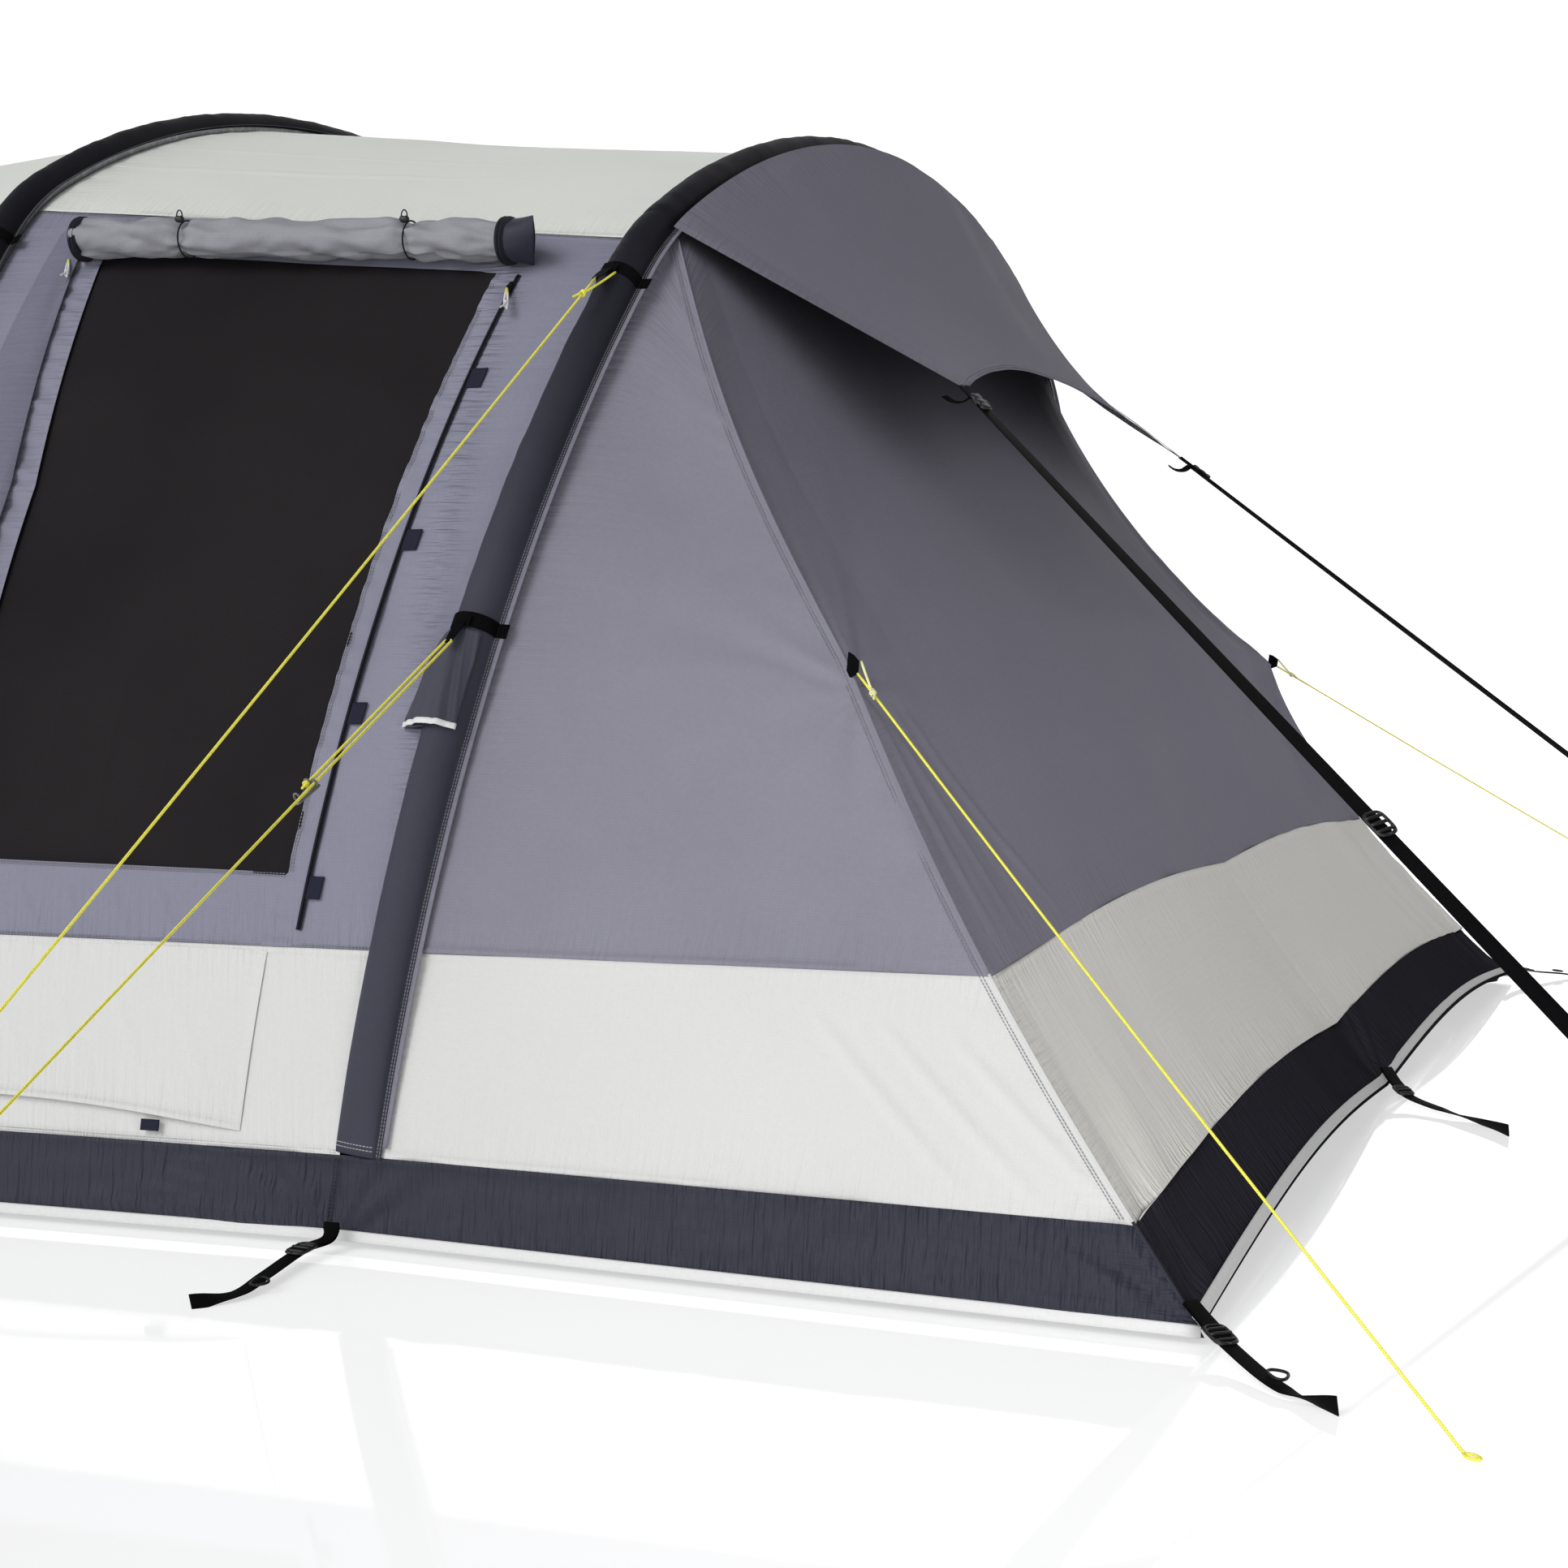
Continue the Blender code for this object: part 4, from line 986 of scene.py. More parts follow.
def window_wall_shape(seed):
    """The wall round the window: slanted pulls below it and gathers along its sides."""
    plain = wall_shape(seed, 0.0022)

    def shape(a, b, whole_a, whole_b):
        relief = plain(a, b, whole_a, whole_b)
        for k in range(7):
            start = 0.12 + 0.085 * k
            relief += crease(a, b, (start, 0.10), (start + 0.05, 0.005), 0.006, 0.0028)
        low, high = (whole_a * share for share in WINDOW_SPAN)
        for k, edge in enumerate((low, high)):
            away = np.abs(a - edge)
            relief += puckers(b, away, seed + 20 + k, 0.0024, 0.014, 0.02)
        strip_wide = (a > high) & (a < high + 0.05)
        return relief + strip_wide * 0.0022 * noise1(b / 0.016 + a * 9, seed + 30)
    return shape


def make_walls():
    for side_name, side in SIDES.items():
        surface = wall_surface(FRONT_BAY, side, LOWER_TOP, EAVE)
        cloth(f"wall_cloth_front_{side_name}", WALL, surface, bay_places(FRONT_BAY, COARSE),
              places(2.0, COARSE), wall_shape(40 + side), replaces=f"wall_front_bay_{side_name}",
              slot="wall_fabric", rests_on=["sleeve_front", "sleeve_middle"])
        for bay_name, bay, step in (("front", FRONT_BAY, COARSE), ("rear", REAR_BAY, STEP)):
            surface = wall_surface(bay, side, BAND_TOP, LOWER_TOP)
            cloth(f"lower_cloth_{bay_name}_{side_name}", LIGHT, surface, bay_places(bay, step),
                  places(0.31, step), wall_shape(60 + side, 0.0012), slot="light_fabric",
                  replaces=f"lower_{bay_name}_bay_{side_name}",
                  rests_on=["sleeve_middle", f"sleeve_{bay_name}"])
    surface = wall_surface(REAR_BAY, FAR, LOWER_TOP, EAVE)
    cloth("wall_cloth_rear_far", WALL, surface, bay_places(REAR_BAY, COARSE), places(1.8, COARSE),
          wall_shape(48), replaces="wall_rear_bay_far", slot="wall_fabric",
          rests_on=["sleeve_middle", "sleeve_rear"])

    us, vs, keep = window_grid()
    surface = wall_surface(REAR_BAY, NEAR, LOWER_TOP, EAVE)
    low, high = WINDOW_SPAN
    cloth("wall_cloth_rear_near", WALL, surface, us, vs, window_wall_shape(50), keep,
          pulled=(low - 0.01, high + 0.02), replaces="wall_rear_bay_near", slot="wall_fabric",
          rests_on=["sleeve_middle", "sleeve_rear"])
    sill, head = window_rows()

    def net_shape(a, b, whole_a, whole_b):
        relief = drape(a, b, 71, 0.0025, 0.35)
        relief += puckers(b, a, 72, 0.0008) + puckers(b, whole_a - a, 75, 0.0008)
        for k in range(5):
            relief += crease(a, b, (0.05 + 0.1 * k, 0.0), (0.02 + 0.12 * k, 0.35), 0.010, 0.0014)
        return relief + puckers(a, b, 78, 0.001, 0.03, 0.08) - 0.003 * np.sin(pi * a / whole_a)

    inner = lerp(low - 0.004, high + 0.004, places(0.72, STEP, (False, False)))
    rows = lerp(sill - 0.003, head + 0.003, places(1.25, STEP, (False, False)))
    cloth("window_net", MESH, surface, inner, rows, net_shape, lift=-0.0022, replaces="window_near",
          slot="window_mesh", rests_on=["wall_cloth_rear_near"])


def window_rows():
    """The window's sill and head, as fractions of the wall panel's height."""
    tall = EAVE * 1.045 - LOWER_TOP
    return (WINDOW_SILL - LOWER_TOP) / tall, (WINDOW_HEAD * 1.045 - LOWER_TOP) / tall


def window_grid():
    """The near wall's grid, with cells round the window's edge, and which of them stay."""
    low, high = WINDOW_SPAN
    sill, head = window_rows()
    ends = bay_places(REAR_BAY, STEP)
    length, tall = 1.20, 1.80

    def between(start, stop, whole):
        count = max(3, int((stop - start) * whole / STEP))
        return np.linspace(start, stop, count + 1)

    hem_u, hem_v = HEM / length, HEM / tall
    us = np.concatenate([ends[:4], between(ends[3], low - hem_u[3], length)[1:-1], low - hem_u[::-1],
                         between(low, high, length)[1:-1], high + hem_u,
                         between(high + hem_u[3], ends[-4], length)[1:-1], ends[-4:]])
    vs = np.concatenate([hem_v, between(hem_v[3], sill - hem_v[3], tall)[1:-1], sill - hem_v[::-1],
                         between(sill, head, tall)[1:-1], head + hem_v,
                         between(head + hem_v[3], 1 - hem_v[3], tall)[1:-1], 1 - hem_v[::-1]])
    middle_u, middle_v = (us[1:] + us[:-1]) / 2, (vs[1:] + vs[:-1]) / 2
    across, up = np.meshgrid(middle_u, middle_v)
    return us, vs, ~((across > low) & (across < high) & (up > sill) & (up < head))


def make_ground_bands():
    """The dark band along each side from the front arch to the rear corner, with its binding."""
    for side_name, side in SIDES.items():
        step = STEP if side == NEAR else COARSE
        ends = np.array([0.0, 0.466, 0.70, 1.0])
        total = 4.4

        def surface(u, row, side=side, ends=ends):
            height = lerp(SKIRT, BAND_TOP, row)
            front = wall_xyz(FRONT_BAY, np.clip(u / ends[1], 0.003, 1), height, side)
            rear = wall_xyz(REAR_BAY, np.clip((u - ends[1]) / (ends[2] - ends[1]), 0, 1), height, side)
            end = end_side_xyz(height, np.clip((u - ends[2]) / (1 - ends[2]), 0, 1), side)
            first, last = (u < ends[1])[..., None], (u > ends[2])[..., None]
            return np.where(first, front, np.where(last, end, rear))

        def shape(a, b, whole_a, whole_b, seed=80 + side):
            relief = drape(a, b, seed, 0.0016, 0.16)
            relief += puckers(a, whole_b - b, seed + 2, 0.0016, 0.020, 0.03)
            relief += puckers(a, b, seed + 5, 0.0012, 0.024, 0.03)
            relief += 0.0014 * noise2(a / 0.05 + b / 0.06, b / 0.03, seed + 8)
            relief += 0.0030 * np.abs(noise2(a / 0.12 - b / 0.05, b / 0.026, seed + 14))
            for place in (0.0, ends[1] * total, ends[2] * total, whole_a.max()):
                foot = crease(a, b, (place, 0.02), (place + 0.001, 0.12), 0.02, 0.001)
                relief += foot + rays(a, b, place, 0.0, pi / 2, seed + 11, 0.009, 15, 0.20)
                for k, rise in enumerate((0.035, 0.060, 0.085, 0.108, 0.124)):
                    near, reach = place - 0.035 - 0.012 * k, place - 0.42 + 0.05 * k
                    relief += crease(a, b, (near, rise * 0.45), (reach, rise), 0.013, 0.0075)
            return relief * np.clip((b - 0.006) / 0.02, 0, 1) + hem_height(whole_b - b)

        cloth(f"ground_band_cloth_{side_name}", DARK, surface, places(total, step),
              places(BAND_TOP - SKIRT, min(step, 0.012)), shape, replaces=f"ground_band_{side_name}",
              slot="dark_fabric", rests_on=["groundsheet"])
        line = surface(np.linspace(0.0, 1.0, 180), np.full(180, 0.055))
        out = unit(xyz(0 * line[:, 0], side + 0 * line[:, 0], 0.14))
        sweep(f"ground_binding_{side_name}", line + out * 0.0026, strip(0.017, 0.0034), BINDING, out)


# ---- rear end ------------------------------------------------------------------------------------
def make_end_sides():
    for side_name, side in SIDES.items():
        step = STEP if side == NEAR else COARSE

        def surface(u, row, low, high, side=side):
            height = lerp(low, high, row)
            start, stop = rear_arch_xyz(height, side), seam_xyz(height, side)
            edge = (SLEEVE_RADIUS - 0.002) / np.maximum(np.linalg.norm(stop - start, axis=-1), 0.04)
            return lerp(start, stop, lerp(np.minimum(edge, 0.9), 1.0, u)[..., None])

        def upper(a, b, whole_a, whole_b, seed=100 + side):
            guy_b = GUY_POINT[2] - LOWER_TOP + 0.05
            share = np.clip(a / np.maximum(whole_a, 0.05), 0, 1)
            relief = drape(a, b, seed, 0.0034, 0.28) - 0.004 * np.sin(pi * share)
            relief += puckers(b, a, seed + 2, 0.0016, 0.024) + puckers(b, whole_a - a, seed + 5, 0.0018)
            relief += puckers(a, b, seed + 8, 0.0008, 0.03)
            edge = np.interp(guy_b, b[:, -1], whole_a[:, 0])
            return relief + rays(a, b, edge, guy_b, pi, seed + 11, 0.0070, 13, 0.26) + hem_height(b)

        def lower(a, b, whole_a, whole_b, seed=110 + side):
            relief = drape(a, b, seed, 0.0022, 0.3) + puckers(b, whole_a - a, seed + 2, 0.0014)
            for k in range(3):
                reach = whole_a.max() - 0.10 * k
                relief += crease(a, b, (reach - 0.30, 0.29), (reach - 0.02, 0.01), 0.012, 0.0034)
            return relief + puckers(b, a, seed + 5, 0.0007) + hem_height(b) + hem_height(whole_b - b)

        cloth(f"end_side_cloth_{side_name}", END, partial(surface, low=LOWER_TOP, high=SEAM_TOP + 0.03),
              places(0.62, step), places(1.35, step, (True, False)), upper, slot="end_fabric",
              replaces=f"end_side_{side_name}", rests_on=["sleeve_rear"])
        cloth(f"end_lower_side_cloth_{side_name}", LIGHT, partial(surface, low=BAND_TOP, high=LOWER_TOP),
              places(1.05, step), places(0.31, step), lower, slot="light_fabric",
              replaces=f"end_lower_side_{side_name}", rests_on=["sleeve_rear"])


def end_shape(seed, height=0.0026):
    """The end wall: pulled tight between its corners, with folds from the guy points."""
    def shape(a, b, whole_a, whole_b):
        share = a / whole_a
        relief = drape(a, b, seed, height, 0.33)
        for k, away in enumerate((a, whole_a - a)):
            relief += puckers(b, away, seed + 3 * k, 0.0018, 0.03, 0.035)
            fan = noise1(b / 0.9 + away * 2.2 / (0.15 + b), seed + 40 + k)
            folds = noise2(away / 0.040, b / 0.8, seed + 60 + k)
            relief += 0.007 * fan * np.exp(-away / 0.26)
            relief += (0.0045 + 0.0065 * k) * folds * np.exp(-away / 0.2)
        relief += puckers(a, whole_b - b, seed + 9, 0.0007, 0.03)
        relief += 0.0030 * noise1(share * 26, seed + 12) * np.exp(-b / 0.26)
        return relief + hem_height(b) + hem_height(whole_b - b)
    return shape


def make_end_wall():
    """Rows run from the bottom of each band up."""
    def band(low, high):
        start, stop = end_fraction(low), end_fraction(high)

        def surface(u, row):
            return end_wall_xyz(lerp(-1, 1, u), lerp(start, stop, row))
        return surface

    def upper(a, b, whole_a, whole_b):
        relief = end_shape(120)(a, b, whole_a, whole_b)
        guy_b = GUY_POINT[2] - LOWER_TOP + 0.06
        for k, facing in ((0, 0.0), (1, pi)):
            centre = np.interp(guy_b, b[:, 0], whole_a[:, 0]) * k
            relief += rays(a, b, centre, guy_b, facing, 140 + k, 0.008, 12, 0.34)
            edge = whole_a * k
            for j in range(4):
                inner = (0.05 + 0.055 * j) * (1 - 2 * k)
                fold = crease(a - edge, b, (inner * 0.5, guy_b - 0.03), (inner * 1.8, 0.02), 0.014, 0.0045)
                relief += fold
        return relief

    across = places(3.1, STEP)
    cloth("end_wall_cloth", END_WALL, band(LOWER_TOP, SEAM_TOP), across, places(1.35, STEP), upper,
          replaces="end_wall", slot="end_fabric", rests_on=["sleeve_rear"])
    cloth("end_lower_cloth", LIGHT_END, band(BAND_TOP, LOWER_TOP), across, places(0.40, STEP), end_shape(150),
          replaces="end_lower_rear", slot="light_fabric", rests_on=["end_wall_cloth"])

    def dark(a, b, whole_a, whole_b):
        relief = end_shape(160, 0.0022)(a, b, whole_a, whole_b)
        for place, facing in ((0.0, 0.5), (whole_a.max() / 2, pi / 2), (whole_a.max(), pi - 0.5)):
            relief += rays(a, b, place, 0.0, facing, 170, 0.010, 14, 0.20)
        return relief * np.clip((b - 0.006) / 0.02, 0, 1)

    low = end_fraction(END_CORNER[2])
    cloth("end_band_cloth", DARK_END, band(END_CORNER[2], BAND_TOP), across, places(0.17, STEP), dark,
          replaces="ground_band_rear", slot="dark_fabric", rests_on=["groundsheet"])
    s = np.linspace(-1, 1, 200)
    line, above = end_wall_xyz(s, np.full(200, low - 0.006)), end_wall_xyz(s, np.full(200, low - 0.02))
    out = unit(np.cross(np.gradient(line, axis=0), above - line))
    out = out * np.sign(out[:, :1])
    sweep("ground_binding_rear", line + out * 0.0028, strip(0.018, 0.0040), BINDING, out)


def make_hood():
    """The hood: cloth pulled out from the arch to its two buckled corners, with a bound edge."""
    def surface(u, row):
        s = lerp(-1, 1, u)
        point = hood_xyz(s, row)
        sag = 0.028 * np.sin(pi * row) * (1 - np.abs(s) ** 4)
        return point - xyz(0.35 * sag, 0 * sag, sag)

    def shape(a, b, whole_a, whole_b):
        share = a / np.maximum(whole_a, 0.1)
        relief = 0.0070 * noise1(share * 19, 181) * np.exp(-b / 0.22) * np.clip(b / 0.04, 0, 1)
        relief += puckers(a, b, 183, 0.0014, 0.024, 0.04) + drape(a, b, 187, 0.0016, 0.25)
        for k, corner in enumerate((0.0, 1.0)):
            away = np.abs(share - corner)
            fan = noise1(away * 26 / (0.25 + b), 190 + k)
            relief += 0.006 * fan * np.clip(b - 0.1, 0, 1) * np.exp(-away / 0.12)
        return relief + hem_height(whole_b - b)

    across = places(2.4, STEP)
    cloth("hood_cloth", HOOD, surface, across, places(0.62, STEP, (False, True)), shape, lift=0.001,
          replaces="hood", slot="end_fabric", rests_on=["sleeve_rear"])


make_roofs()
make_walls()
make_ground_bands()
make_end_sides()
make_end_wall()
make_hood()


# ---- sleeves, air beams and the seams beside them ---------------------------------------------------
def arch_frame(arch, low, count):
    """A beam's middle line from the near foot to the far one, with the outward normal at each point."""
    x, lean, scale = ARCHES[arch]
    foot = float(arch_angle(low / scale))
    angles = np.linspace(foot, pi / 2, 400)
    y, z = arch_yz(angles)
    far = np.concatenate([[0], np.cumsum(np.hypot(np.diff(y), np.diff(z)))])
    along = np.linspace(0, 2 * far[-1], count)
    angle = np.interp(np.minimum(along, 2 * far[-1] - along), far, angles)
    side = np.where(along <= far[-1], NEAR, FAR)
    y, z = arch_yz(angle)
    y, z = y * scale + SLEEVE_LIFT * np.cos(angle), z * scale + SLEEVE_LIFT * np.sin(angle)
    out = unit(xyz(lean * np.sin(angle), side * np.cos(angle), np.sin(angle)))
    return xyz(x + lean * z, side * y, z), out


def sleeve_section(bulge):
    """Across the sleeve, as thin cloth: flange, dome over the beam, flange, and back underneath."""
    radius, inner = SLEEVE_RADIUS, SLEEVE_RADIUS - 0.0022
    turn = np.linspace(radians(176), radians(4), 19)
    dome = np.stack([radius * np.cos(turn), radius * np.sin(turn) * bulge], 1)
    under = np.stack([inner * np.cos(turn), inner * np.sin(turn) * bulge], 1)[::-1]
    tip, low = radius + 0.0095, -SLEEVE_LIFT
    left = [(-tip, low + 0.0008), (-tip + 0.001, low + 0.0020), (-radius - 0.0008, low + 0.0020)]
    right = [(-x, z) for x, z in left[::-1]]
    return np.vstack([left, dome, right, [(inner + 0.0004, low)], under, [(-inner - 0.0004, low)]])


def make_sleeves():
    for arch in ARCHES:
        count = 160 if (arch == "front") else 420
        line, out = arch_frame(arch, BAND_TOP + 0.002, count)
        far = lengths(line[None], 1)[0]
        along = unit(np.gradient(line, axis=0))
        side = unit(np.cross(along, out))
        ends = np.minimum(far, far[-1] - far)
        bulge = 0.20 + 0.35 * np.clip(ends / 0.12, 0, 1) ** 0.7 + 0.45 * np.clip((ends - 0.1) / 0.5, 0, 1)
        rows = np.array([sleeve_section(b) for b in bulge])
        turn = np.linspace(0, 1, rows.shape[1])[None, :]
        bend = np.exp(-(((ends - 1.62) / 0.22) ** 2))
        relief = 0.0011 * noise2(far[:, None] / 0.035 + 5, turn * 6, 200)
        relief += (0.0006 + 0.0024 * bend[:, None]) * noise2(far[:, None] / 0.018, turn * 3, 210)
        relief += 0.0012 * noise2(far[:, None] / 0.16, turn * 9, 220)
        size = np.clip(rows[..., 1:] / SLEEVE_RADIUS, 0, 1)
        rows = rows * (1 + relief[..., None] / SLEEVE_RADIUS * size)
        points = line[:, None] + side[:, None] * rows[..., :1] + out[:, None] * rows[..., 1:]
        uvs = flat_uvs(far[:, None], lengths(rows, 1))
        sleeve = build(f"sleeve_cloth_{arch}", points.reshape(-1, 3), tube_faces(*rows.shape[:2]), uvs,
                       SLEEVE)
        stands_for(f"sleeve_{arch}")
        beam_line, beam_out = arch_frame(arch, SLEEVE_FOOT + 0.05, 120)
        beam_far = lengths(beam_line[None], 1)[0]
        inside = np.interp(np.minimum(beam_far, beam_far[-1] - beam_far) + 0.065, far[: count // 2],
                           bulge[: count // 2])
        sizes = np.clip((SLEEVE_RADIUS * inside - 0.0045) / 0.0295, 0.05, 1)
        beam = sweep(f"air_beam_tube_{arch}", beam_line, ring(0.0295, 20), FILM, beam_out, sizes)
        stands_for(f"air_beam_{arch}")
        for row in (0.0385, 0.0432):
            for hand in (-1, 1):
                stitches(line + side * hand * row + out * (0.0024 - SLEEVE_LIFT), out, DARK_THREAD)
        for row in (0.010, 0.016):
            for end in (0, -1):
                step = along[end] * (row if end == 0 else -row)
                reach = np.linspace(-0.034, 0.034, 12)
                lift = 0.0010 + SLEEVE_RADIUS * (0.215 + 2.2 * row) * np.sqrt(1 - (reach / 0.036) ** 2)
                across = line[end] + step + side[end] * reach[:, None]
                stitches(across + out[end] * lift[:, None], np.tile(out[end], (12, 1)), THREAD)


STITCHES = {}
STITCH_THICKNESS, WALL_HEIGHT = 0.0011, 1.75
SEAM_STITCHES = (0.0025, 0.0068)             # how far a seam's two rows of stitches are from its edge


def stitches(line, out, material, pitch=0.0056, long=0.0038):
    """Notes a row of stitches along a line; make_stitches builds them all."""
    line, out = np.asarray(line, float), np.broadcast_to(np.asarray(out, float), np.shape(line))
    far = lengths(line[None], 1)[0]
    starts = np.arange(pitch / 2, far[-1] - long, pitch)
    ends = [np.stack([np.interp(starts + more, far, line[:, k]) for k in range(3)], 1) for more in (0, long)]
    up = unit(np.stack([np.interp(starts, far, out[:, k]) for k in range(3)], 1))
    side = unit(np.cross(ends[1] - ends[0], up)) * STITCH_THICKNESS / 2
    corners = [ends[0] - side, ends[0] + side, ends[1] + side, ends[1] - side]
    rise = up * STITCH_THICKNESS * 0.4
    corners = [c - rise for c in corners] + [c + rise for c in corners]
    STITCHES.setdefault(material.name, []).append(np.stack(corners, 1).reshape(-1, 3))


def make_stitches():
    box = np.array([[3, 2, 1, 0], [4, 5, 6, 7], [0, 1, 5, 4], [1, 2, 6, 5], [2, 3, 7, 6], [3, 0, 4, 7]])
    for name, groups in STITCHES.items():
        points = np.vstack(groups)
        count = len(points) // 8
        faces = (box[None] + 8 * np.arange(count)[:, None, None]).reshape(-1, 4)
        build(f"stitching_{name}", points, faces, points[:, :2], bpy.data.materials[name], smooth=False)


def surface_line(surface, u, row, lift):
    """A line on a surface at the places u and row, lifted off it, with its normals."""
    u, row = np.broadcast_arrays(np.asarray(u, float), np.asarray(row, float))
    point = surface(u, row)
    ahead, above = surface(u + 1e-4, row), surface(u, row + 1e-4)
    out = unit(np.cross(ahead - point, above - point))
    out = out * facing_out(point, out)
    return point + out * lift, out


def seam_rows(surface, row, tall, us, material=THREAD):
    """A double row of stitches just inside the edge of a panel tall metres high."""
    for away in SEAM_STITCHES:
        place = row + away / tall if row < 0.5 else row - away / tall
        line, out = surface_line(surface, np.linspace(*us, 80), place, 0.0016)
        stitches(line, out, material)


def seam_columns(surface, u, wide, rows, into):
    """The same beside the column u of a panel wide metres across."""
    for away in SEAM_STITCHES:
        line, out = surface_line(surface, u + into * away / wide, np.linspace(*rows, 80), 0.0016)
        stitches(line, out, DARK_THREAD)


def make_seams():
    for side in (NEAR, FAR):
        for bay, wide in ((REAR_BAY, 1.2), (FRONT_BAY, 2.1)):
            edge = 0.04 / wide
            wall = wall_surface(bay, side, LOWER_TOP, EAVE)
            lower = wall_surface(bay, side, BAND_TOP, LOWER_TOP)
            for row in (1.0, 0.0):
                seam_rows(wall, row, WALL_HEIGHT, (edge, 1 - edge), DARK_THREAD)
            seam_rows(lower, 0.0, 0.31, (edge, 1 - edge))
    low, high = WINDOW_SPAN
    wall, (sill, head) = wall_surface(REAR_BAY, NEAR, LOWER_TOP, EAVE), window_rows()
    seam_columns(wall, low, 1.2, (sill, head), -1)
    seam_columns(wall, high, 1.2, (sill, head), 1)
    for away in (0.003, 0.0075):
        line, out = surface_line(wall, np.linspace(low, high, 60), sill - away / WALL_HEIGHT, 0.0016)
        stitches(line, out, DARK_THREAD)
    for side_name, side in SIDES.items():
        height = np.linspace(0.03, SEAM_TOP, 160)
        line = seam_xyz(height, side)
        inward = unit(rear_arch_xyz(height, side) - line)
        out = unit(xyz(0.55 + 0 * height, side * 0.8, 0.25 + 0 * height))
        section = strip(0.0045, 0.0016)
        parts = (("dark", 0.0, BAND_TOP, DARK), ("light", BAND_TOP, LOWER_TOP, LIGHT),
                 ("wall", LOWER_TOP, SEAM_TOP, END))
        for part, low, high, material in parts:
            span = (height >= low) & (height < high + 0.006)
            sweep(f"end_seam_{part}_{side_name}", (line + out * 0.0004)[span], section, material, out[span])
        pale = height > BAND_TOP
        for away in (0.011, 0.016):
            stitches((line + inward * away + out * 0.0012)[pale], out[pale], DARK_THREAD)
    hood_edge = np.linspace(0.0, 1.0, 200)
    for row in (0.975, 0.988):
        line = hood_xyz(lerp(-1, 1, hood_edge), np.full(200, row))
        stitches(line + [0.0015, 0, 0.0022], [0.5, 0, 0.85], DARK_THREAD)


# ---- window blind, zips and tabs ----------------------------------------------------------------------
BLIND_ENDS = (1.531, 1.574)                  # height on the unit arch, at its front and rear ends


def blind_axis(v):
    """The middle of the rolled blind, at places along the bay."""
    share = (v - WINDOW_SPAN[0]) / (WINDOW_SPAN[1] - WINDOW_SPAN[0])
    scale = lerp(ARCHES["middle"][2], ARCHES["rear"][2], v)
    return wall_xyz(REAR_BAY, v, lerp(*BLIND_ENDS, share) * scale, NEAR, BLIND_RADIUS + 0.003)


def make_blind():
    low, high = WINDOW_SPAN[0] + 0.006, WINDOW_SPAN[1] + 0.018
    count, sides = ((260, 72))
    v = np.linspace(low, high, count)
    line = blind_axis(v)
    along = unit(np.gradient(line, axis=0))
    out = np.tile(unit(np.array([0, -0.8, 0.6])), (count, 1))
    side = unit(np.cross(along, out))
    up = np.cross(side, along)
    far = lengths(line[None], 1)[0][:, None]
    turn = np.linspace(0, 2 * pi, sides, endpoint=False)[None, :]
    ties = [far[-1, 0] * 0.265, far[-1, 0] * 0.79]
    radius = BLIND_RADIUS * (0.97 + 0.035 * noise2(far / 0.13, 2 + 2 * np.sin(turn), 301))
    radius += 0.0072 * noise2(far / 0.055 + turn * 0.9, 3 + 2 * np.cos(turn) + far / 0.2, 303)
    radius += 0.0018 * noise2(far / 0.026 - turn * 0.7, 3 + 3 * np.sin(turn), 307)
    for tie in ties:
        away = np.abs(far - tie)
        fold = noise2(turn * 2.4 + 3, far / 0.09, 311)
        radius -= 0.009 * np.exp(-((away / 0.014) ** 2))
        radius += 0.0095 * fold * np.exp(-away / 0.06)
    radius = radius * (1 - 0.10 * np.clip(np.sin(turn + 2.4), 0, 1))
    points = line[:, None] + radius[..., None] * (side[:, None] * np.cos(turn)[..., None]
                                                  + up[:, None] * np.sin(turn)[..., None])
    uvs = flat_uvs(far, turn * BLIND_RADIUS)
    roll = build("window_blind_roll", points.reshape(-1, 3), tube_faces(count, sides), uvs, BLIND)
    stands_for("rolled_blind")
    for k, tie in enumerate(ties):
        place = np.array([np.interp(tie, far[:, 0], line[:, j]) for j in range(3)])
        turn_round = np.linspace(0, 2 * pi, 40)
        around = oval(place, side[0], up[0], BLIND_RADIUS - 0.0045, BLIND_RADIUS - 0.0045, turn_round)
        sweep(f"blind_tie_{k}", around, ring(0.0016, 8), ELASTIC)
        top = place + up[0] * (BLIND_RADIUS - 0.002) + Z * 0.004
        loop = oval(top + Z * 0.011, Z, along[0], -0.011, 0.006, turn_round)
        sweep(f"blind_tie_loop_{k}", loop, ring(0.0012, 7), ELASTIC)
        toggle(f"blind_toggle_{k}", top + Z * 0.006, along[0])
    for k, place in enumerate((low + 0.004, high + 0.003)):
        span = np.linspace(-0.0085, 0.0085, 5)
        centre = blind_axis(np.array([place]))[0]
        band = centre + along[0] * span[:, None]
        sweep(f"blind_zip_band_{k}", band, ring(BLIND_RADIUS * 1.07, 48), ZIP_TAPE, out[:5])
        for shift in (-0.0035, 0.0035):
            reach = BLIND_RADIUS * 1.075
            coil = oval(centre + along[0] * shift, side[0], up[0], reach, reach, np.linspace(0, 2 * pi, 80))
            sweep(f"blind_zip_coil_{k}_{int(shift > 0)}", coil, ring(0.0011, 6), ELASTIC)
    flap(blind_axis(np.array([high + 0.010]))[0], along[0], side[0], up[0])


def toggle(name, place, along):
    """A small cord lock: a barrel with a collar."""
    line = place + unit(along) * np.linspace(-0.0085, 0.0085, 7)[:, None]
    sizes = [0.55, 0.95, 1.0, 0.8, 1.0, 0.95, 0.55]
    sweep(name, line, ring(0.0062, 14), PLASTIC, sizes=sizes)


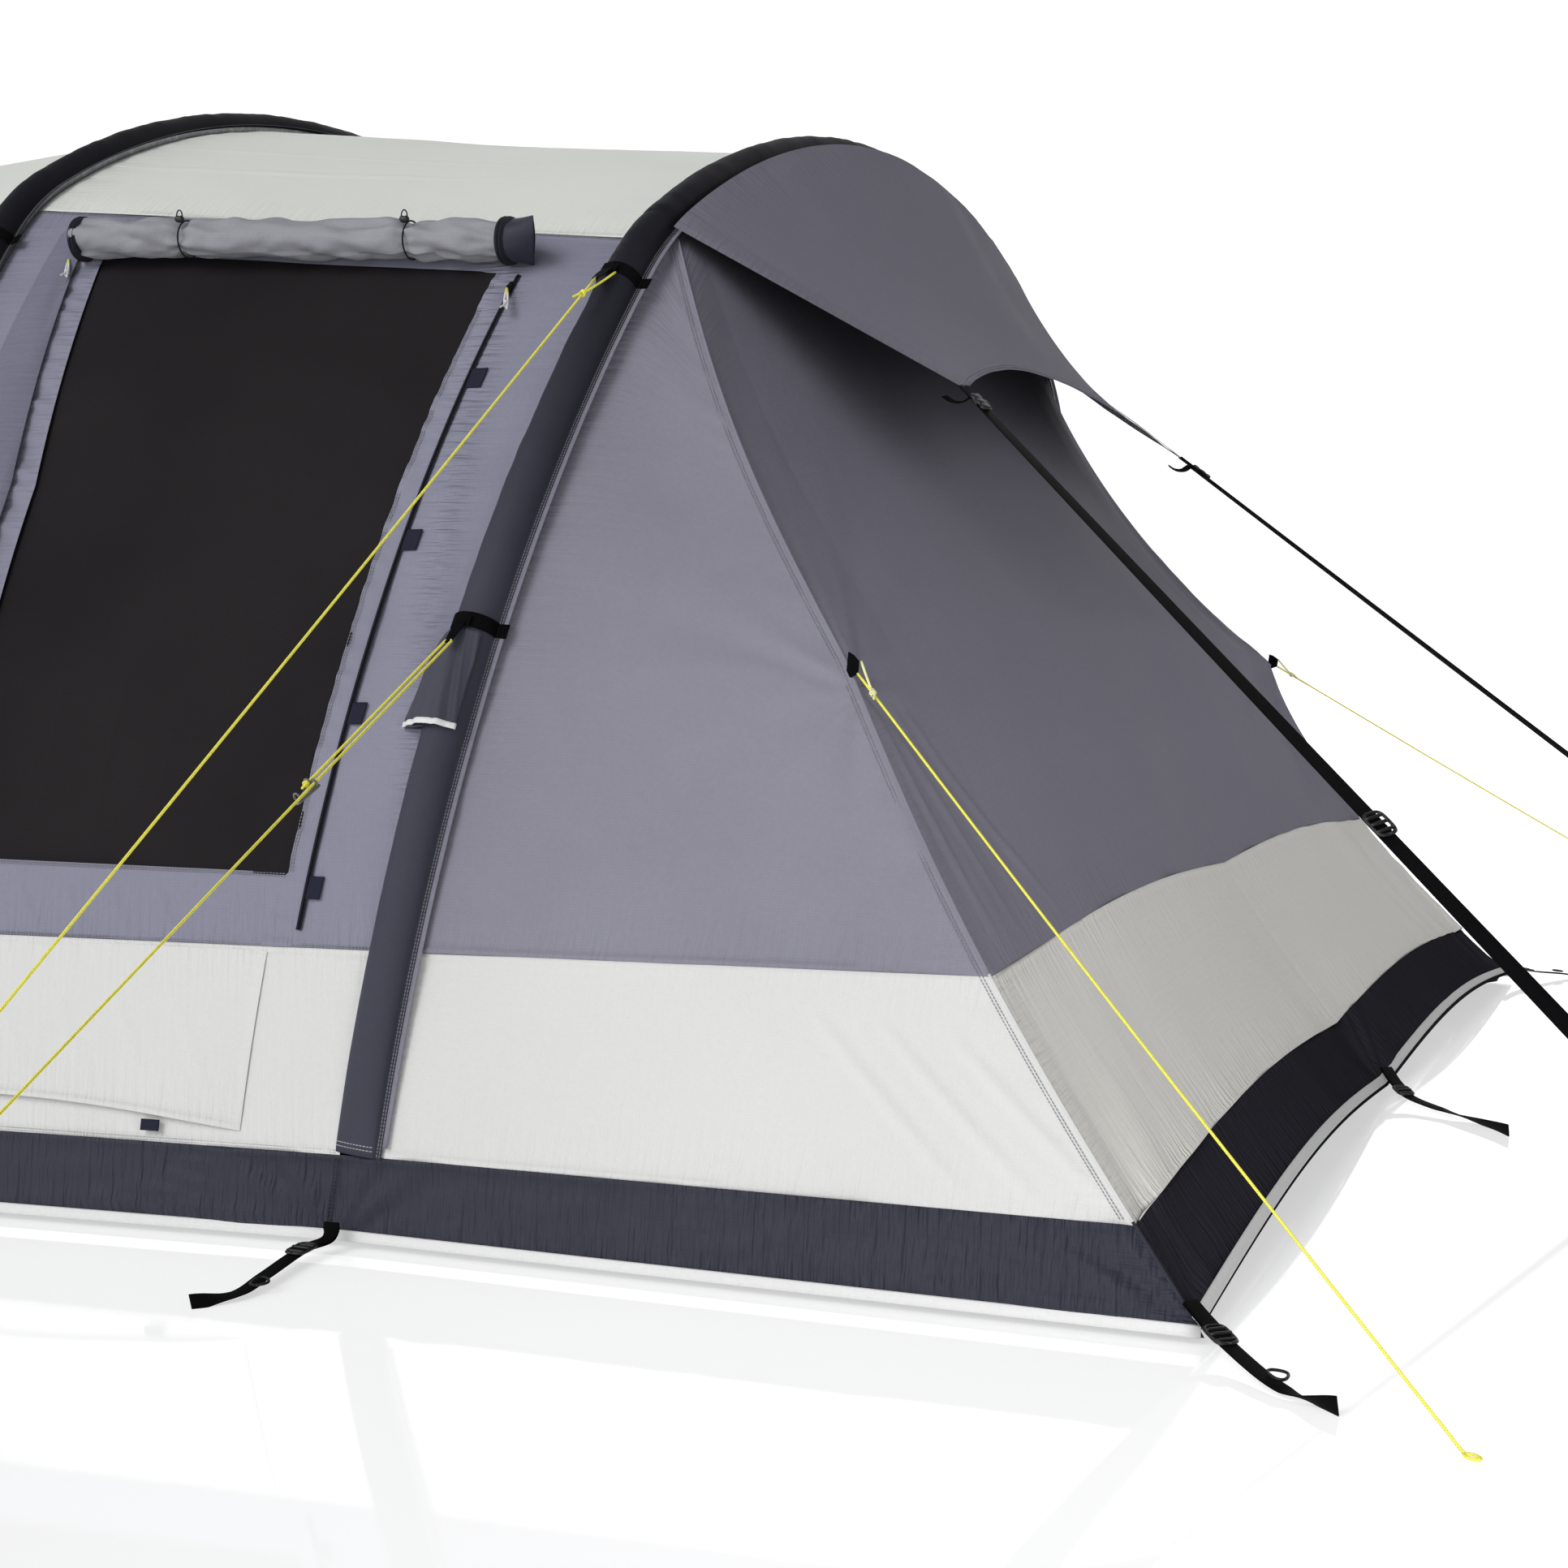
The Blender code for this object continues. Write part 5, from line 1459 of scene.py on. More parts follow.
def flap(place, along, side, up):
    """The dark open end of the blind's cover, flattened and flared."""
    count, sides = 14, 48
    t = np.linspace(0, 1, count)[:, None]
    turn = np.linspace(0, 2 * pi, sides, endpoint=False)[None, :]
    wide = BLIND_RADIUS * (1.0 - 0.40 * t + 0.05 * np.sin(3 * turn + 4 * t))
    tall = BLIND_RADIUS * (1.0 + 0.34 * t + 0.09 * np.sin(2 * turn + 3 * t))
    points = (place + along * (0.040 * t + 0.018 * t * np.sin(turn + 0.4))[..., None]
              + side * (wide * np.cos(turn))[..., None] + up * (tall * np.sin(turn))[..., None])
    faces = grid_faces(count, sides, around=True)
    end = build("blind_end_cover", points.reshape(-1, 3), faces, flat_uvs(t * 0.04, turn * 0.04), DARK)
    thick = end.modifiers.new("cloth_thickness", "SOLIDIFY")
    thick.thickness = 0.0012


def wall_line(v, low, high, lift, count=80):
    height = np.linspace(low, high, count)
    line = wall_xyz(REAR_BAY, v, height, NEAR, lift)
    ahead = wall_xyz(REAR_BAY, v, height, NEAR, lift + 0.01)
    return line, unit(ahead - line)


def make_zips():
    for name, v in ZIP_PLACES.items():
        scale = lerp(ARCHES["middle"][2], ARCHES["rear"][2], v)
        top = (WINDOW_HEAD - 0.012) * scale
        line, out = wall_line(v, ZIP_LOW, top, 0.0022)
        tape = sweep(f"zip_tape_{name}", line, strip(0.0105, 0.0012), ZIP_TAPE, out)
        stands_for(f"zip_{name}")
        sweep(f"zip_coil_{name}", line + out * 0.0012, ring(0.0019, 8), COIL, out)
        make_slider(name, v, top - 0.03)


def make_slider(name, v, height):
    """A zip slider with its pull tab and a short knotted cord, on the slider's own body."""
    body = f"zip_slider_{name}"
    line, out = wall_line(v, height - 0.011, height + 0.011, 0.0085, 9)
    sizes = [0.55, 0.8, 0.95, 1.0, 0.85, 0.85, 1.0, 0.95, 0.6]
    slider = sweep(f"{body}_body", line, strip(0.0115, 0.0062), WIRE, out, sizes, body)
    stands_for(body)
    hook = line[4] + out[4] * 0.003
    down = unit(line[0] - line[-1])
    lean = unit(np.array([0.42, 0, 0]) + down + out[4] * 0.05)
    tab = hook + lean * np.linspace(0, 0.016, 5)[:, None] + out[4] * 0.003
    sweep(f"{body}_tab", tab, strip(0.0062, 0.0016), WIRE, out[4], [0.7, 1, 0.8, 0.9, 0.7], body)
    for hand, long in ((-1, 0.062), (1, 0.054)):
        side = np.cross(lean, out[4])
        t = np.linspace(0, 1, 16)[:, None]
        cord = tab[-2] + lean * long * t + side * hand * 0.0030 * np.sin(pi * t * 0.8) + out[4] * 0.002
        sweep(f"{body}_cord_{(hand + 1) // 2}", cord, ring(0.0023, 8), PULLER, body=body)
    tie = knot(f"{body}_knot", tab[-2] + lean * 0.046 + out[4] * 0.002, lean, WHITE_CORD, 0.0017)
    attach(tie, body)


TAB_HEIGHTS = (1.348, 1.067, 0.789, 0.523)


def hook_tab(name, v, height, wide, tall, lift, seed):
    """A small tab of hook pile lying on the near wall."""
    count, span = 9, wide / 1.1
    us = np.linspace(v - span / 2, v + span / 2, count)
    heights = np.linspace(height - tall / 2, height + tall / 2, count)
    across, up = np.meshgrid(us, heights)
    points = wall_xyz(REAR_BAY, across, up, NEAR, lift)
    out, sign = normals(points)
    points = points + out * (0.0009 * noise2(across * 30, up * 30, 400 + seed))[..., None]
    faces = grid_faces(count, count)
    thing = build(name, points.reshape(-1, 3), faces if sign > 0 else faces[:, ::-1],
                  flat_uvs(lengths(points, 1), lengths(points, 0)), HOOK_PILE)
    thick = thing.modifiers.new("thickness", "SOLIDIFY")
    thick.thickness, thick.offset = 0.0016, 0.0


def make_tabs():
    for k, height in enumerate(TAB_HEIGHTS):
        hook_tab(f"blind_tab_{k}", 0.861, height, 0.024, 0.034, 0.0034, k)
    hook_tab("vent_tab", 0.658, 0.160, 0.034, 0.017, 0.009, 9)


def make_flaps():
    """The vent's flap on the light panel, and the rain flap over the front zip."""
    top, edge = LOWER_TOP - 0.006, 0.036 / 1.08

    def vent(u, row):
        v = lerp(edge, 0.805, u)
        low = 0.160 + 0.031 * np.sin(0.9 * pi * (1 - u))
        free = (1 - row) ** 3 * np.clip((1 - u) / 0.12, 0, 1)
        return wall_xyz(REAR_BAY, v, lerp(low, top, row), NEAR, 0.0018 + 0.009 * free)

    def vent_shape(a, b, whole_a, whole_b):
        relief = drape(a, b, 421, 0.0012, 0.2) + 0.0022 * noise1(a / 0.11, 423) * np.exp(-b / 0.06)
        for k in range(6):
            start = 0.10 + 0.11 * k
            relief += crease(a, b, (start + 0.10, 0.02), (start, 0.22), 0.010, 0.0013)
        return relief + hem_height(b) + hem_height(whole_a - a)

    cloth("vent_flap", LIGHT, vent, places(0.86, STEP), places(0.26, STEP), vent_shape,
          rests_on=["lower_cloth_rear_near"])

    def rain_edge(height):
        return lerp(0.160, 0.214, np.clip((1.617 - height) / 0.44, 0, 1))

    def rain(u, row):
        height = lerp(ZIP_LOW - 0.02, 1.60 * 1.06, row)
        v = lerp(0.098, rain_edge(height), u)
        room = 0.018 * np.clip((1.62 - height) / 0.7, 0, 1) * np.sin(pi * u) ** 0.7
        return wall_xyz(REAR_BAY, v, height, NEAR, 0.004 + 0.010 * u + 0.006 * np.sin(pi * u) + room)

    def rain_shape(a, b, whole_a, whole_b):
        fold = 0.0045 * noise2(a / 0.05, b / 0.14, 431) * a / whole_a
        return fold + puckers(b, a, 433, 0.0010) + hem_height(whole_a - a)

    def strip_under(u, row):
        height = lerp(ZIP_LOW, 1.60 * 1.05, row)
        v = lerp(rain_edge(height) - 0.03, rain_edge(height) + 0.032, u)
        return wall_xyz(REAR_BAY, v, height, NEAR, 0.0035)

    def gathers(a, b, whole_a, whole_b):
        folds = 0.0040 * noise1(b / 0.016 + 0.6 * a / whole_a, 437)
        return folds + puckers(b, whole_a - a, 439, 0.001, 0.012)

    cloth("rain_flap", RAIN, rain, places(0.11, 0.008), places(1.3, STEP), rain_shape, held="hung",
          rests_on=["wall_cloth_rear_near"])
    cloth("zip_guard", WALL, strip_under, places(0.066, 0.006, (False, True)), places(1.2, 0.006), gathers,
          held="gathered", rests_on=["wall_cloth_rear_near"])


make_sleeves()
make_blind()
make_zips()
make_tabs()
make_flaps()
make_seams()


# ---- front wall, door and groundsheet -----------------------------------------------------------------
DOOR_HALF_WIDTH, DOOR_TOP, DOOR_CORNER, FRONT_INSET = 0.55, 1.72, 0.28, 0.048
SEAM_GAP = 0.002


def front_xyz(y, z, lift=0.0):
    """A point of the front wall's plane, from its coordinates across and up in that plane."""
    lean = ARCHES["front"][1]
    tall = np.sqrt(1 + lean**2)
    return xyz(-1.756 + lean * z / tall - lift / tall, y, z / tall + lean * lift / tall)


def door_line(t, inset=0.0):
    """The doorway's outline, t from 0 at the near foot over the top to 1 at the far foot."""
    wide, top, radius = DOOR_HALF_WIDTH - inset, DOOR_TOP - inset, DOOR_CORNER
    turn = np.linspace(0, pi / 2, 12)
    low = BAND_TOP + SEAM_GAP + inset
    near = [(-wide, low)] + [(-wide + radius - radius * cos(a), top - radius + radius * sin(a)) for a in turn]
    line = np.array(near + [(-y, z) for y, z in near[::-1]])
    far = lengths(line[None], 1)[0] / lengths(line[None], 1)[0][-1]
    return np.interp(t, far, line[:, 0]), np.interp(t, far, line[:, 1])


def front_arch_line(t):
    """The front wall's outer edge, across and up its plane, and the arch's angle there."""
    scale = ARCHES["front"][2]
    low = float(arch_angle((BAND_TOP + SEAM_GAP) / scale))
    angles = np.linspace(low, pi / 2, 200)
    y, z = arch_yz(angles)
    y, z = y * scale - FRONT_INSET * np.cos(angles), z * scale - FRONT_INSET * np.sin(angles)
    z[0] = BAND_TOP + SEAM_GAP
    far = np.concatenate([[0], np.cumsum(np.hypot(np.diff(y), np.diff(z)))]) / 2
    far = far / far[-1] / 2
    share = np.minimum(t, 1 - t)
    y, z, angle = (np.interp(share, far, values) for values in (y, z, angles))
    return y * np.where(t < 0.5, -1, 1), z, angle


def make_front():
    def wall(u, row):
        y0, z0 = door_line(u)
        y1, z1, _ = front_arch_line(u)
        return front_xyz(lerp(y0, y1, row), lerp(z0, z1, row))

    def wall_relief(a, b, whole_a, whole_b):
        relief = drape(a, b, 501, 0.0014, 0.3)
        relief += puckers(a, b, 503, 0.0007) + puckers(a, whole_b - b, 506, 0.0008)
        return relief * np.clip(b / 0.02, 0.3, 1) + hem_height(b)

    cloth("front_wall_cloth", WALL, wall, places(5.0, COARSE), places(0.7, COARSE), wall_relief,
          replaces="front_wall", slot="wall_fabric", rests_on=["sleeve_front"])

    def gusset(u, row):
        y, z, angle = front_arch_line(u)
        near, distant = (bay_xyz(FRONT_BAY, -0.021, angle, side) for side in (NEAR, FAR))
        outer = np.where((u < 0.5)[..., None], near, distant)
        return lerp(front_xyz(y, z), outer, row[..., None])

    cloth("front_gusset_cloth", SLEEVE, gusset, places(5.0, COARSE), places(0.062, COARSE, (False, False)),
          lambda a, b, whole_a, whole_b: puckers(a, b, 525, 0.0008), rests_on=["sleeve_front"])

    inset = 0.004
    low, top = BAND_TOP + SEAM_GAP + inset, DOOR_TOP - inset

    def door(u, row):
        z = lerp(low, top, row)
        above = np.clip((z - (top - DOOR_CORNER)) / DOOR_CORNER, 0, 1)
        half = DOOR_HALF_WIDTH - inset - DOOR_CORNER * (1 - np.sqrt(1 - above**2))
        return front_xyz(lerp(-1, 1, u) * half, z)

    def door_relief(a, b, whole_a, whole_b):
        edge = np.minimum(np.minimum(a, whole_a - a), np.minimum(b, whole_b - b))
        relief = drape(a, b, 511, 0.0022, 0.3) * np.clip(edge / 0.08, 0.2, 1) + puckers(a, b, 513, 0.0006)
        return relief + 0.0008

    cloth("front_door_cloth", WALL, door, places(1.09, COARSE), places(1.57, COARSE), door_relief,
          replaces="front_door", slot="wall_fabric", body="front_door", held="hung")
    t = np.linspace(0.004, 0.996, 260)
    y, z = door_line(t, 0.0)
    line = front_xyz(y, z, 0.002)
    inward = unit(front_xyz(*door_line(t, 0.05)) - front_xyz(y, z))
    out = np.cross(np.gradient(line, axis=0), inward)
    out = unit(out * -np.sign(out[:, :1]))
    free = y > 0.03 - DOOR_HALF_WIDTH
    tape, coil = line - inward * 0.012 + out * 0.002, line - inward * 0.0022 + out * 0.0026
    sweep("front_zip_tape", tape[free], strip(0.022, 0.0014), ZIP_TAPE, out[free])
    sweep("front_zip_coil", coil[free], ring(0.0018, 6), COIL, out[free])
    stitches(line - inward * 0.026 + out * 0.001, out, DARK_THREAD, 0.012, 0.008)

    scale = ARCHES["front"][2]

    def band(u, row):
        z = lerp(SKIRT, BAND_TOP, row)
        half = arch_yz(arch_angle(z / scale))[0] * scale - 0.004
        return front_xyz(lerp(-1, 1, u) * half, z)

    cloth("ground_band_cloth_front", DARK, band, places(3.9, COARSE), places(0.12, 0.012), wall_shape(521),
          replaces="ground_band_front", slot="dark_fabric", rests_on=["groundsheet"])
    line = front_xyz(np.linspace(-1.95, 1.95, 90), SKIRT + 0.006, 0.003)
    sweep("ground_binding_front", line, strip(0.015, 0.0026), BINDING, [-1, 0, -0.06])


END_CUT = 0.24                               # the groundsheet's end is cut in between its pegs


def make_groundsheet():
    inset = 0.015
    xs = [ARCHES["front"][0] + inset, ARCHES["middle"][0], ARCHES["rear"][0], END_CORNER[0] - inset]
    half = [HALF_WIDTH * ARCHES[name][2] - inset for name in ARCHES] + [END_CORNER[1] - inset]

    def sheet(u, row):
        off = np.abs(2 * row - 1)
        end = lerp(END_CORNER[0] - END_PULL - inset, END_CORNER[0] - inset, off)
        end = end - END_CUT * np.abs(np.sin(pi * off))
        x = lerp(xs[0], end, u)
        wide = np.interp(x, xs, half) - 0.004
        rim = 0.034 * np.clip((off - 0.985) / 0.015, 0, 1)
        return xyz(x, wide * (2 * row - 1), 0.0032 + rim)

    def relief(a, b, whole_a, whole_b):
        return np.clip(drape(a, b, 531, 0.0012, 0.35), -0.0016, 0.0016)

    cloth("groundsheet_cloth", GROUND, sheet, places(4.3, COARSE * 1.5), places(3.8, COARSE * 1.5), relief,
          replaces="groundsheet", slot="groundsheet_fabric", held="laid")


# ---- webbing, pocket, pegging straps and their hardware ------------------------------------------------
def sleeve_place(arch, height, side=NEAR, lift=0.0):
    """A point on a sleeve's centre line, with the directions up the arch, out and along the tunnel."""
    v = 1.0 if arch == "rear" else 0.0
    bay = FRONT_BAY if arch == "front" else REAR_BAY
    point = wall_xyz(bay, v, height, side, SLEEVE_LIFT + lift)
    up = unit(wall_xyz(bay, v, height + 0.01, side, SLEEVE_LIFT + lift) - point)
    out = unit(wall_xyz(bay, v, height, side, SLEEVE_LIFT + lift + 0.01) - point)
    return point, up, out, unit(np.cross(up, out))


def band_round(name, arch, height):
    """Webbing over a sleeve, sewn down on its flanges."""
    point, _, out, across = sleeve_place(arch, height)
    turn = np.linspace(radians(-4), radians(184), 41)
    radius = SLEEVE_RADIUS + 0.0028
    line = oval(point, across, out, radius, radius, turn)
    ends = [point + hand * across * reach + out * (0.0028 - SLEEVE_LIFT)
            for hand, reach in ((1, 0.058), (1, 0.046), (-1, 0.046), (-1, 0.058))]
    line = np.vstack([ends[:2], line, ends[2:]])
    normal = unit(line - point + out * 1e-6)
    normal[:2], normal[-2:] = out, out
    return sweep(name, line, strip(WEBBING_WIDTH, 0.0018), WEBBING, normal)


def make_guy_bands():
    for name, height in GUY_BAND_HEIGHTS.items():
        band = band_round(f"guy_band_{name}_webbing", "rear", height)
        stands_for(f"guy_band_{name}")
        point, up, out, across = sleeve_place("rear", height - 0.004, lift=SLEEVE_RADIUS + 0.0045)
        start = UPPER_START if name == "upper" else MIDDLE_START
        drop = start + unit(start - point) * 0.002
        for hand in (-1, 1):
            bow = across * hand * 0.004 + out * 0.001
            line = curve_through([point + bow * 0.6, lerp(point, drop, 0.5) + bow, drop + bow * 0.3], 16)
            sweep(f"guy_loop_{name}_{(hand + 1) // 2}", line, strip(0.010, 0.0013), WEBBING, out)
        sweep(f"guy_patch_{name}", point + up * np.linspace(-0.010, 0.010, 5)[:, None] + out * 0.0008,
              strip(0.030, 0.0016), WEBBING, out)
    scale = ARCHES["middle"][2] / ARCHES["rear"][2]
    band_round("guy_band_middle_arch", "middle", GUY_BAND_HEIGHTS["upper"] * scale)


POCKET_TOP, POCKET_FOOT = 0.905, 0.762       # heights on the rear sleeve


def make_pocket():
    """A wrinkled cloth flap over the sleeve, under a webbing band, for the folded guyline."""
    rows, cols = ((40, 44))
    t, turn = np.linspace(0, 1, rows), np.linspace(radians(38), radians(182), cols)
    points = np.zeros((rows, cols, 3))
    for k, share in enumerate(t):
        point, _, out, across = sleeve_place("rear", lerp(POCKET_TOP, POCKET_FOOT, share))
        flare = SLEEVE_RADIUS + 0.0036 + 0.008 * share
        fold = 0.0022 * noise1(turn * 5 + share * 2.5, 541) * (0.4 + share)
        fold += 0.0012 * noise1(turn * 11 + share * 6, 543)
        radius = flare + fold
        reach = 1 + 0.52 * min(share / 0.3, 1) ** 0.6 * np.clip(-np.cos(turn), 0, 1)
        points[k] = oval(point, across, out, radius * reach, radius, turn)
    pocket = build("guyline_pocket_cloth", points.reshape(-1, 3), grid_faces(rows, cols),
                   flat_uvs(lengths(points, 1), lengths(points, 0)), POCKET)
    thick = pocket.modifiers.new("cloth_thickness", "SOLIDIFY")
    thick.thickness, thick.offset = 0.0012, 0.0
    sewn(pocket, "guyline_pocket", "sleeve_fabric", ["sleeve_rear"], "gathered")
    hem, point = points[-1], sleeve_place("rear", POCKET_FOOT)[0]
    sweep("guyline_pocket_hem", hem, strip(0.010, 0.0022), HEM_TAPE, unit(hem - point))


def make_seam_tabs():
    for name, side in SIDES.items():
        root = (GUY_POINT + [0.006, 0.006, 0]) * [1, side, 1]
        out = unit(np.array([0.9, side * 0.44, -0.15]))
        across = unit(np.cross(out, Z))
        t = np.linspace(-0.006, 0.020, 12)
        sizes = np.interp(t, [-0.006, 0.006, 0.020], [1.0, 0.86, 0.50])
        tab = sweep(f"seam_tab_{name}_webbing", root + out * t[:, None], strip(0.040, 0.0022), WEBBING,
                    across, sizes)
        stands_for(f"seam_tab_{name}")


def ladder_lock(name, place, along, up, body="tent"):
    """A ladder-lock buckle: a round-ended frame with three bars across it, the middle one raised."""
    along, up = unit(np.asarray(along, float)), unit(np.asarray(up, float))
    up = unit(up - along * np.dot(up, along))
    side = np.cross(up, along)
    half, wide = 0.0165, 0.0150
    turn = np.linspace(0, 2 * pi, 49)
    bulge = np.sign(np.cos(turn)) * np.abs(np.cos(turn)) ** 0.55
    spread = np.sign(np.sin(turn)) * np.abs(np.sin(turn)) ** 0.55
    loop = place + along * (bulge * (half + 0.006))[:, None] + side * (spread * wide)[:, None]
    parts = [sweep(name, loop, strip(0.0062, 0.0046), PLASTIC, np.tile(up, (49, 1)), body=body)]
    for k, (shift, lift) in enumerate(((-0.0135, 0.0006), (0.0, 0.0018), (0.0135, 0.0006))):
        bar = place + along * shift + side * (np.linspace(-1, 1, 5) * wide)[:, None] + up * lift
        parts.append(sweep(f"{name}_bar_{k}", bar, strip(0.0066, 0.0044), PLASTIC, up, body=body))
    return join(name, parts)


def peg_strap(name, points, lock_at, ring_at=None, twist=(0.78, 1.2)):
    """Folded webbing from the tent's foot to the ground, with a lock, a ring and a flared loose end."""
    line = curve_through(points, 70)
    t = np.linspace(0, 1, 70)
    along = unit(np.gradient(line, axis=0))
    side = unit(np.cross(Z, along))
    flat = np.cross(along, side)
    start, turns = twist
    roll = turns * np.clip((t - start) / (1 - start), 0, 1) ** 1.2
    ups = flat * np.cos(roll)[:, None] + side * np.sin(roll)[:, None]
    sizes = 1 - 0.16 * np.exp(-(((t - (start + 0.06)) / 0.05) ** 2))
    strap = sweep(f"peg_strap_{name}_webbing", line, strip(WEBBING_WIDTH, 0.0024), WEBBING, ups, sizes)
    stands_for(f"peg_strap_{name}")
    k = int(lock_at * 69)
    ladder_lock(f"peg_strap_{name}_lock", line[k] + flat[k] * 0.003, along[k], flat[k])
    first = line[: k + 3] + flat[: k + 3] * 0.0032
    sweep(f"peg_strap_{name}_fold", first, strip(WEBBING_WIDTH * 0.96, 0.0020), WEBBING, flat[: k + 3])
    if ring_at:
        k = int(ring_at * 69)
        turn = np.linspace(0, 2 * pi, 33)
        round_it = (along[k] * (0.013 * np.cos(turn) * (1 - 0.35 * np.sin(turn)))[:, None]
                    + side[k] * (0.013 + 0.012 * np.sin(turn))[:, None] + Z * 0.006)
        sweep(f"peg_strap_{name}_ring", line[k] + round_it, ring(0.0021, 8), WIRE)


def make_peg_straps():
    for side_name, side in SIDES.items():
        flip = np.array([1, side, 1])
        rear = np.array([[1.330, 1.7985, 0.046], [1.330, 1.808, 0.022], [1.322, 1.860, 0.018],
                         [1.345, 1.965, 0.014], [1.352, 2.030, 0.008], [1.322, 2.088, 0.007]])
        peg_strap(f"rear_{side_name}", rear * flip, 0.26, 0.70, (0.80, 1.0))
        middle = np.array([[0.36, 1.966, 0.046], [0.36, 1.978, 0.022], [0.362, 2.04, 0.016],
                           [0.35, 2.12, 0.010], [0.36, 2.198, 0.007]])
        peg_strap(f"middle_{side_name}", middle * flip, 0.34, 0.74, (0.84, 1.0))
        corner = np.array([[2.568, 1.622, 0.050], [2.598, 1.646, 0.034], [2.640, 1.690, 0.022],
                           [2.700, 1.752, 0.012], [2.742, 1.778, 0.007], [2.790, 1.802, 0.012]])
        peg_strap(f"corner_{side_name}", corner * flip, 0.26, 0.66, (0.74, 1.5))
    end = np.array([[2.532, 0.02, 0.050], [2.562, -0.03, 0.030], [2.600, -0.088, 0.018],
                    [2.68, -0.150, 0.010], [2.76, -0.215, 0.008], [2.80, -0.262, 0.010]])
    peg_strap("end_middle", end, 0.26, None, (0.52, 1.5))


def side_release(name, place, along, up):
    """A slim side-release buckle, both halves joined."""
    along, up = unit(np.asarray(along, float)), unit(np.asarray(up, float))
    line = place + along * np.linspace(-0.025, 0.025, 21)[:, None]
    sizes = [0.78, 0.95, 1, 1, 1, 0.98, 0.90, 0.84, 0.84, 0.92, 1.02, 1.04, 1.02, 0.95, 0.88, 0.88, 0.94,
             1, 1, 0.95, 0.78]
    sweep(name, line, strip(0.025, 0.0085), PLASTIC, up, sizes)
    side = np.cross(up, along)
    for hand in (-1, 1):
        arm = place + side * hand * 0.0128 + along * np.linspace(-0.008, 0.010, 7)[:, None]
        sweep(f"{name}_arm_{(hand + 1) // 2}", arm, ring(0.0027, 8), PLASTIC, sizes=[0.6, 1, 1, 1, 1, 1, 0.6])


def make_hood_fittings():
    for name, side in SIDES.items():
        corner, peg, along = hood_strap_run(side)
        up = square_up(along)
        side_release(f"hood_buckle_{name}", corner + along * 0.034 + up * 0.004, along, up)
        inner, outer = HOOD_CORNER * [1, side, 1] - along * 0.012, corner + along * 0.012
        tab = lerp(inner, outer, np.linspace(0, 1, 8)[:, None]) + up * 0.002
        sweep(f"hood_tab_{name}", tab, strip(0.024, 0.002), WEBBING, up)
        hang = corner + np.array([[0.0, 0, -0.004], [-0.016, 0, -0.012], [-0.034, 0, -0.010],
                                  [-0.050, 0, 0.0]])
        sweep(f"hood_tail_{name}", curve_through(hang, 24), strip(0.022, 0.0018), WEBBING,
              [0.5, 0.2 * side, 0.8])
        if side == NEAR:
            up = strap_face(along, side, 0.42)[0]
            place = lerp(corner, peg, 0.52) + up * 0.0034
            buckle = ladder_lock("strap_buckle_frame", place, along, up, "strap_buckle")
            stands_for("strap_buckle")


